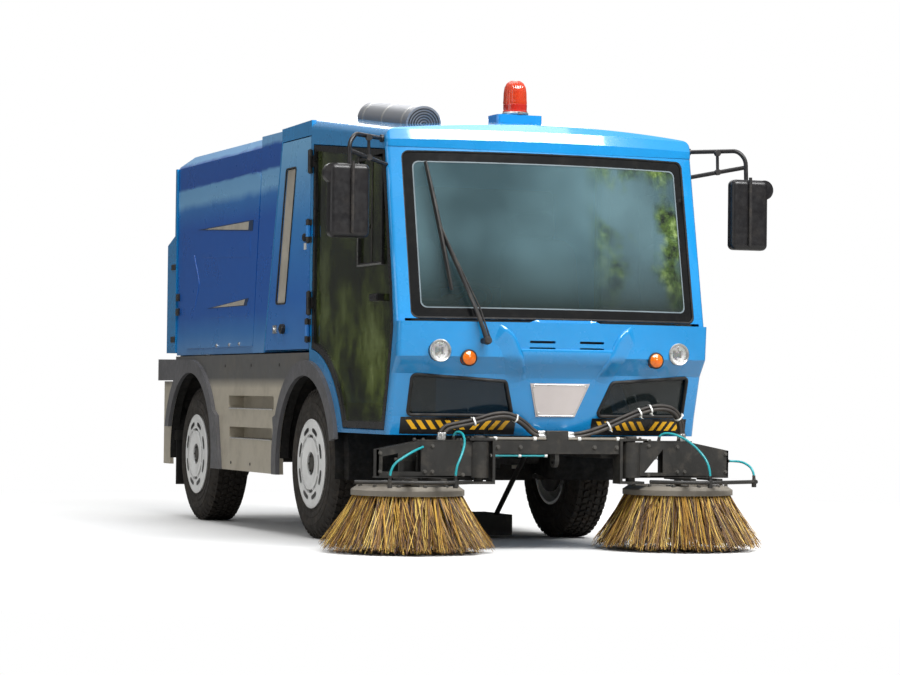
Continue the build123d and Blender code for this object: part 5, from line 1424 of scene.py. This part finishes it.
def broom_hardware(side, sign):
    """Bolts, motor cap and return spring on the arm, and the bolts of the broom's plate."""
    arm, front = f"broom_arm_{side}", ARM_FRONT + 0.001
    bolts = Build().bolts([at(sign * x, front, z) for x, z in ARM_BOLTS], AHEAD, 0.008, 0.009)
    bolts.bolts([at(sign * x, y, 0.556) for x, y in HOSE_PLATE_BOLTS], UP, 0.007, 0.008)
    bolts.bolts(bolt_circle(sign, 0.058, 0.38, 4, pi / 4), UP, 0.006, 0.008)
    bolts.piece(f"arm_bolts_{side}", "cast_grey", arm)
    centre = at(sign * BROOM_X, BROOM_Y, 0.49)
    motor = Build().lathe([(0, 0.02), (0.02, 0.02), (0.024, 0.016), (0.044, 0.014), (0.048, 0.006), (0.0495, -0.01),
                           (0.0495, -0.04), (0.047, -0.042)], centre, UP, 36)
    for turn in (0.6, 2.6):
        motor.tube([centre + Vector((cos(turn) * reach, sin(turn) * reach, -0.035)) for reach in (0.045, 0.066)],
                   0.01, 12)
    motor.piece(f"motor_cap_{side}", "cast_grey", arm)
    start, end = at(sign * 0.5, -1.395, 0.475), at(sign * 0.69, -1.392, 0.475)
    turns, steps, coil = 15, 14, []
    for step in range(turns * steps + 1):
        angle = 2 * pi * step / steps
        coil.append(start.lerp(end, step / (turns * steps)) + Vector((0, cos(angle), sin(angle))) * 0.014)
    spring = Build().tube(coil, 0.0024, 6)
    spring.tube([at(sign * 0.47, -1.407, 0.475), start + Vector((0, -0.004, 0))], 0.005, 8)
    spring.tube([end + Vector((0, -0.004, 0)), at(sign * 0.715, -1.407, 0.475)], 0.005, 8)
    spring.piece(f"arm_spring_{side}", "silver", arm)
    part = Build().bolts(bolt_circle(sign, 0.246, 0.3275, 12), UP, 0.009, 0.01)
    part.piece(f"plate_bolts_{side}", "cast_grey", f"broom_{side}")


def beam_hardware():
    """Bolts, post caps, water pipe and clips on the beam."""
    beam = Build().bolts([at(x, -1.4795, 0.521) for x in (-0.32, -0.2, 0.2, 0.32)], AHEAD, 0.009, 0.01)
    for sign in SIDES.values():
        x, y = sign * POST[0], POST[1]
        beam.bolts([at(x + dx, y + dy, 0.5655) for dx in (-0.042, 0.042) for dy in (-0.022, 0.034)], UP, 0.007, 0.008)
        beam.disc(at(x, y, 0.565), UP, 0.027, 0.012, 0.25, 24)
    beam.piece("beam_bolts", "cast_grey")
    pipe = Build().tube([at(x, -1.468, 0.5635) for x in (-0.365, 0.365)], 0.0085, 12)
    pipe.piece("beam_pipe", "broom_plate", slot="silver")
    water = Build().tube([at(x, -1.47, 0.48) for x in (-0.345, -0.25, -0.15, -0.06)], 0.006, 12)
    water.piece("beam_water_line", "hose_teal")
    clips = Build()
    for x in (-0.345, -0.2, -0.06):
        clips.lathe(rect(0.0055, -0.007, 0.0085, 0.007), at(x, -1.47, 0.48), (1, 0, 0), 16)
    for x in (-0.33, -0.12, 0.12, 0.33):
        clips.lathe(rect(0.008, -0.008, 0.0112, 0.008), at(x, -1.468, 0.5635), (1, 0, 0), 16)
    clips.piece("beam_clips", "tie_white")


# ---- rear ----
def rear_details(side, sign):
    """Lamp lenses, mudflap and door clamps at the back."""
    low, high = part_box("tail_lamps")
    z = (low[2] + high[2]) / 2
    for material, x, half in (("lamp_red", 0.664, 0.026), ("amber_lens", 0.722, 0.026), ("clear_lens", 0.77, 0.018)):
        lens_piece = Build()
        outline = rounded(rect(x - half, z - 0.038, x + half, z + 0.038), 0.008)
        lens_piece.prism([Vector((sign * px, high[1] - 0.001, pz)) for px, pz in outline], (0, 0.006, 0))
        lens_piece.piece(f"tail_{material}_{side}", material, bevel=0.0015)
    outline = [at(sign * x, WHEELBASE + 0.455, z) for x, z in rect(0.6, 0.2, 0.8, 0.63)]
    flap = Build().prism(outline, (0, 0.006, 0))
    flap.piece(f"mudflap_{side}", "rubber", bevel=0.001)
    clamp = Build()
    for height in (1.1, 1.55):
        spot = at(sign * 0.826, 2.7, height)
        clamp.box(spot + Vector((-0.004, -0.03, -0.018)), spot + Vector((0.004, 0.06, 0.018)))
    clamp.piece(f"door_clamps_{side}", "frame_black", "hopper_door", bevel=0.002)


def door_ribs():
    """Upright ribs on the hopper's rear door."""
    ribs = Build()
    for x in (-0.55, 0.0, 0.55):
        ribs.prism([at(px, 2.8605, pz) for px, pz in rect(x - 0.03, 1.03, x + 0.03, 1.665)], (0, 0.01, 0))
    ribs.piece("door_ribs", "body_blue", "hopper_door", bevel=0.003)


for axle, side in WHEELS:
    tyres(axle, side)
    hubs(axle, side)
for side, sign in SIDES.items():
    for make in (brooms, low_window_trim, nose_ridges, warning_stripes, headlamps, indicators, hoses,
                 engine_door_trim, door_seals, door_frames, cab_door_trim, hopper_trim, skirt_trim, arch_liners,
                 mirror_details, seats, arms, broom_hardware, rear_details):
        make(side, sign)
for make in (windscreen_trim, nose_plate_rim, cowl_details, wiper_blade, beacon, cab_details, intake_details,
             nose_ledge, hose_block, beam_hardware, door_ribs):
    make()


# ---- floor, light and camera ----
BACKDROP = 1.0


def floor():
    """Pale floor that takes the shadow near the truck and runs out to plain white for the camera."""
    mesh = bpy.data.meshes.new("floor")
    reach = 60
    mesh.from_pydata([(-reach, -reach, 0), (reach, -reach, 0), (reach, reach, 0), (-reach, reach, 0)], [],
                     [(0, 1, 2, 3)])
    obj = bpy.data.objects.new("floor", mesh)
    bpy.context.scene.collection.objects.link(obj)
    nodes = Nodes("floor_pale").set(rough=0.9)
    seen = nodes.node("LightPath").outputs["Is Camera Ray"]
    pale = nodes.ramp(nodes.noise(0.6, 5), [(0.3, srgb(240, 240, 239)), (0.7, srgb(246, 246, 245))])
    nodes.skin(nodes.mix(seen, srgb(166, 165, 162), pale))
    away = nodes.node("VectorMath", {0: nodes.place}, operation="LENGTH").outputs["Value"]
    white = nodes.node("Emission", {"Color": (1, 1, 1, 1), "Strength": BACKDROP}).outputs["Emission"]
    blend = nodes.node("MixShader", {"Fac": nodes.calc("MULTIPLY", nodes.range(away, 0, 1, 3.2, 6.2), seen),
                                     1: nodes.shader.outputs["BSDF"], 2: white}).outputs["Shader"]
    nodes.feed(nodes.tree.nodes["Material Output"].inputs["Surface"], blend)
    mesh.materials.append(nodes.owner)


def area_light(name, place, target, size, depth, power):
    data = bpy.data.lights.new(name, "AREA")
    data.shape, data.size, data.size_y, data.energy = "RECTANGLE", size, depth, power
    obj = bpy.data.objects.new(name, data)
    obj.location = place
    obj.rotation_euler = (Vector(target) - Vector(place)).to_track_quat("-Z", "Y").to_euler()
    bpy.context.scene.collection.objects.link(obj)


CAMERA_PLACE = at(-5.54, -14.46, 0.78)
CAMERA_YAW, CAMERA_PITCH, CAMERA_ROLL = radians(20.92), radians(1.14), radians(0.65)
FOCAL_PX, FRAME_PX, SENSOR_MM = 2842, 900, 36


def camera():
    forward = Vector((sin(CAMERA_YAW) * cos(CAMERA_PITCH), cos(CAMERA_YAW) * cos(CAMERA_PITCH), sin(CAMERA_PITCH)))
    level = Vector((cos(CAMERA_YAW), -sin(CAMERA_YAW), 0))
    upright = level.cross(forward)
    right = level * cos(CAMERA_ROLL) + upright * sin(CAMERA_ROLL)
    up = upright * cos(CAMERA_ROLL) - level * sin(CAMERA_ROLL)
    data = bpy.data.cameras.new("camera")
    data.sensor_width, data.lens = SENSOR_MM, SENSOR_MM * FOCAL_PX / FRAME_PX
    data.clip_end = 200
    obj = bpy.data.objects.new("camera", data)
    obj.matrix_world = Matrix.Translation(CAMERA_PLACE) @ Matrix((right, up, -forward)).transposed().to_4x4()
    bpy.context.scene.collection.objects.link(obj)
    bpy.context.scene.camera = obj


def world():
    """Studio surround: bright overhead, dim at the horizon, plain white where the camera sees it."""
    nodes = Nodes("studio", world=True)
    bpy.context.scene.world = nodes.owner
    level = nodes.range(nodes.along("Z"), 0, 1, -1, 1)
    stops = [(0.0, 0.16), (0.47, 0.14), (0.5, 0.08), (0.6, 0.14), (0.68, 0.36), (1.0, 0.56)]
    sky = nodes.ramp(level, [(position, (value, value, value, 1)) for position, value in stops])
    path = nodes.node("LightPath").outputs
    seen = nodes.calc("MAXIMUM", path["Is Camera Ray"], path["Is Transmission Ray"])
    nodes.set(backdrop=nodes.mix(seen, sky, (BACKDROP, BACKDROP, BACKDROP, 1)))


floor()
area_light("key", at(2.2, -9.2, 10.0), at(0, -0.5, 1), 11, 3.4, 2500)
area_light("fill", at(-10, -3, 3.5), at(0, 1, 1), 6, 6, 150)
area_light("top", at(0, 1.5, 9), at(0, 1.5, 1), 7, 7, 420)
area_light("back", at(3, 10, 6), at(0, 1, 1), 6, 6, 260)
camera()
world()
bpy.context.scene.view_settings.view_transform = "Standard"
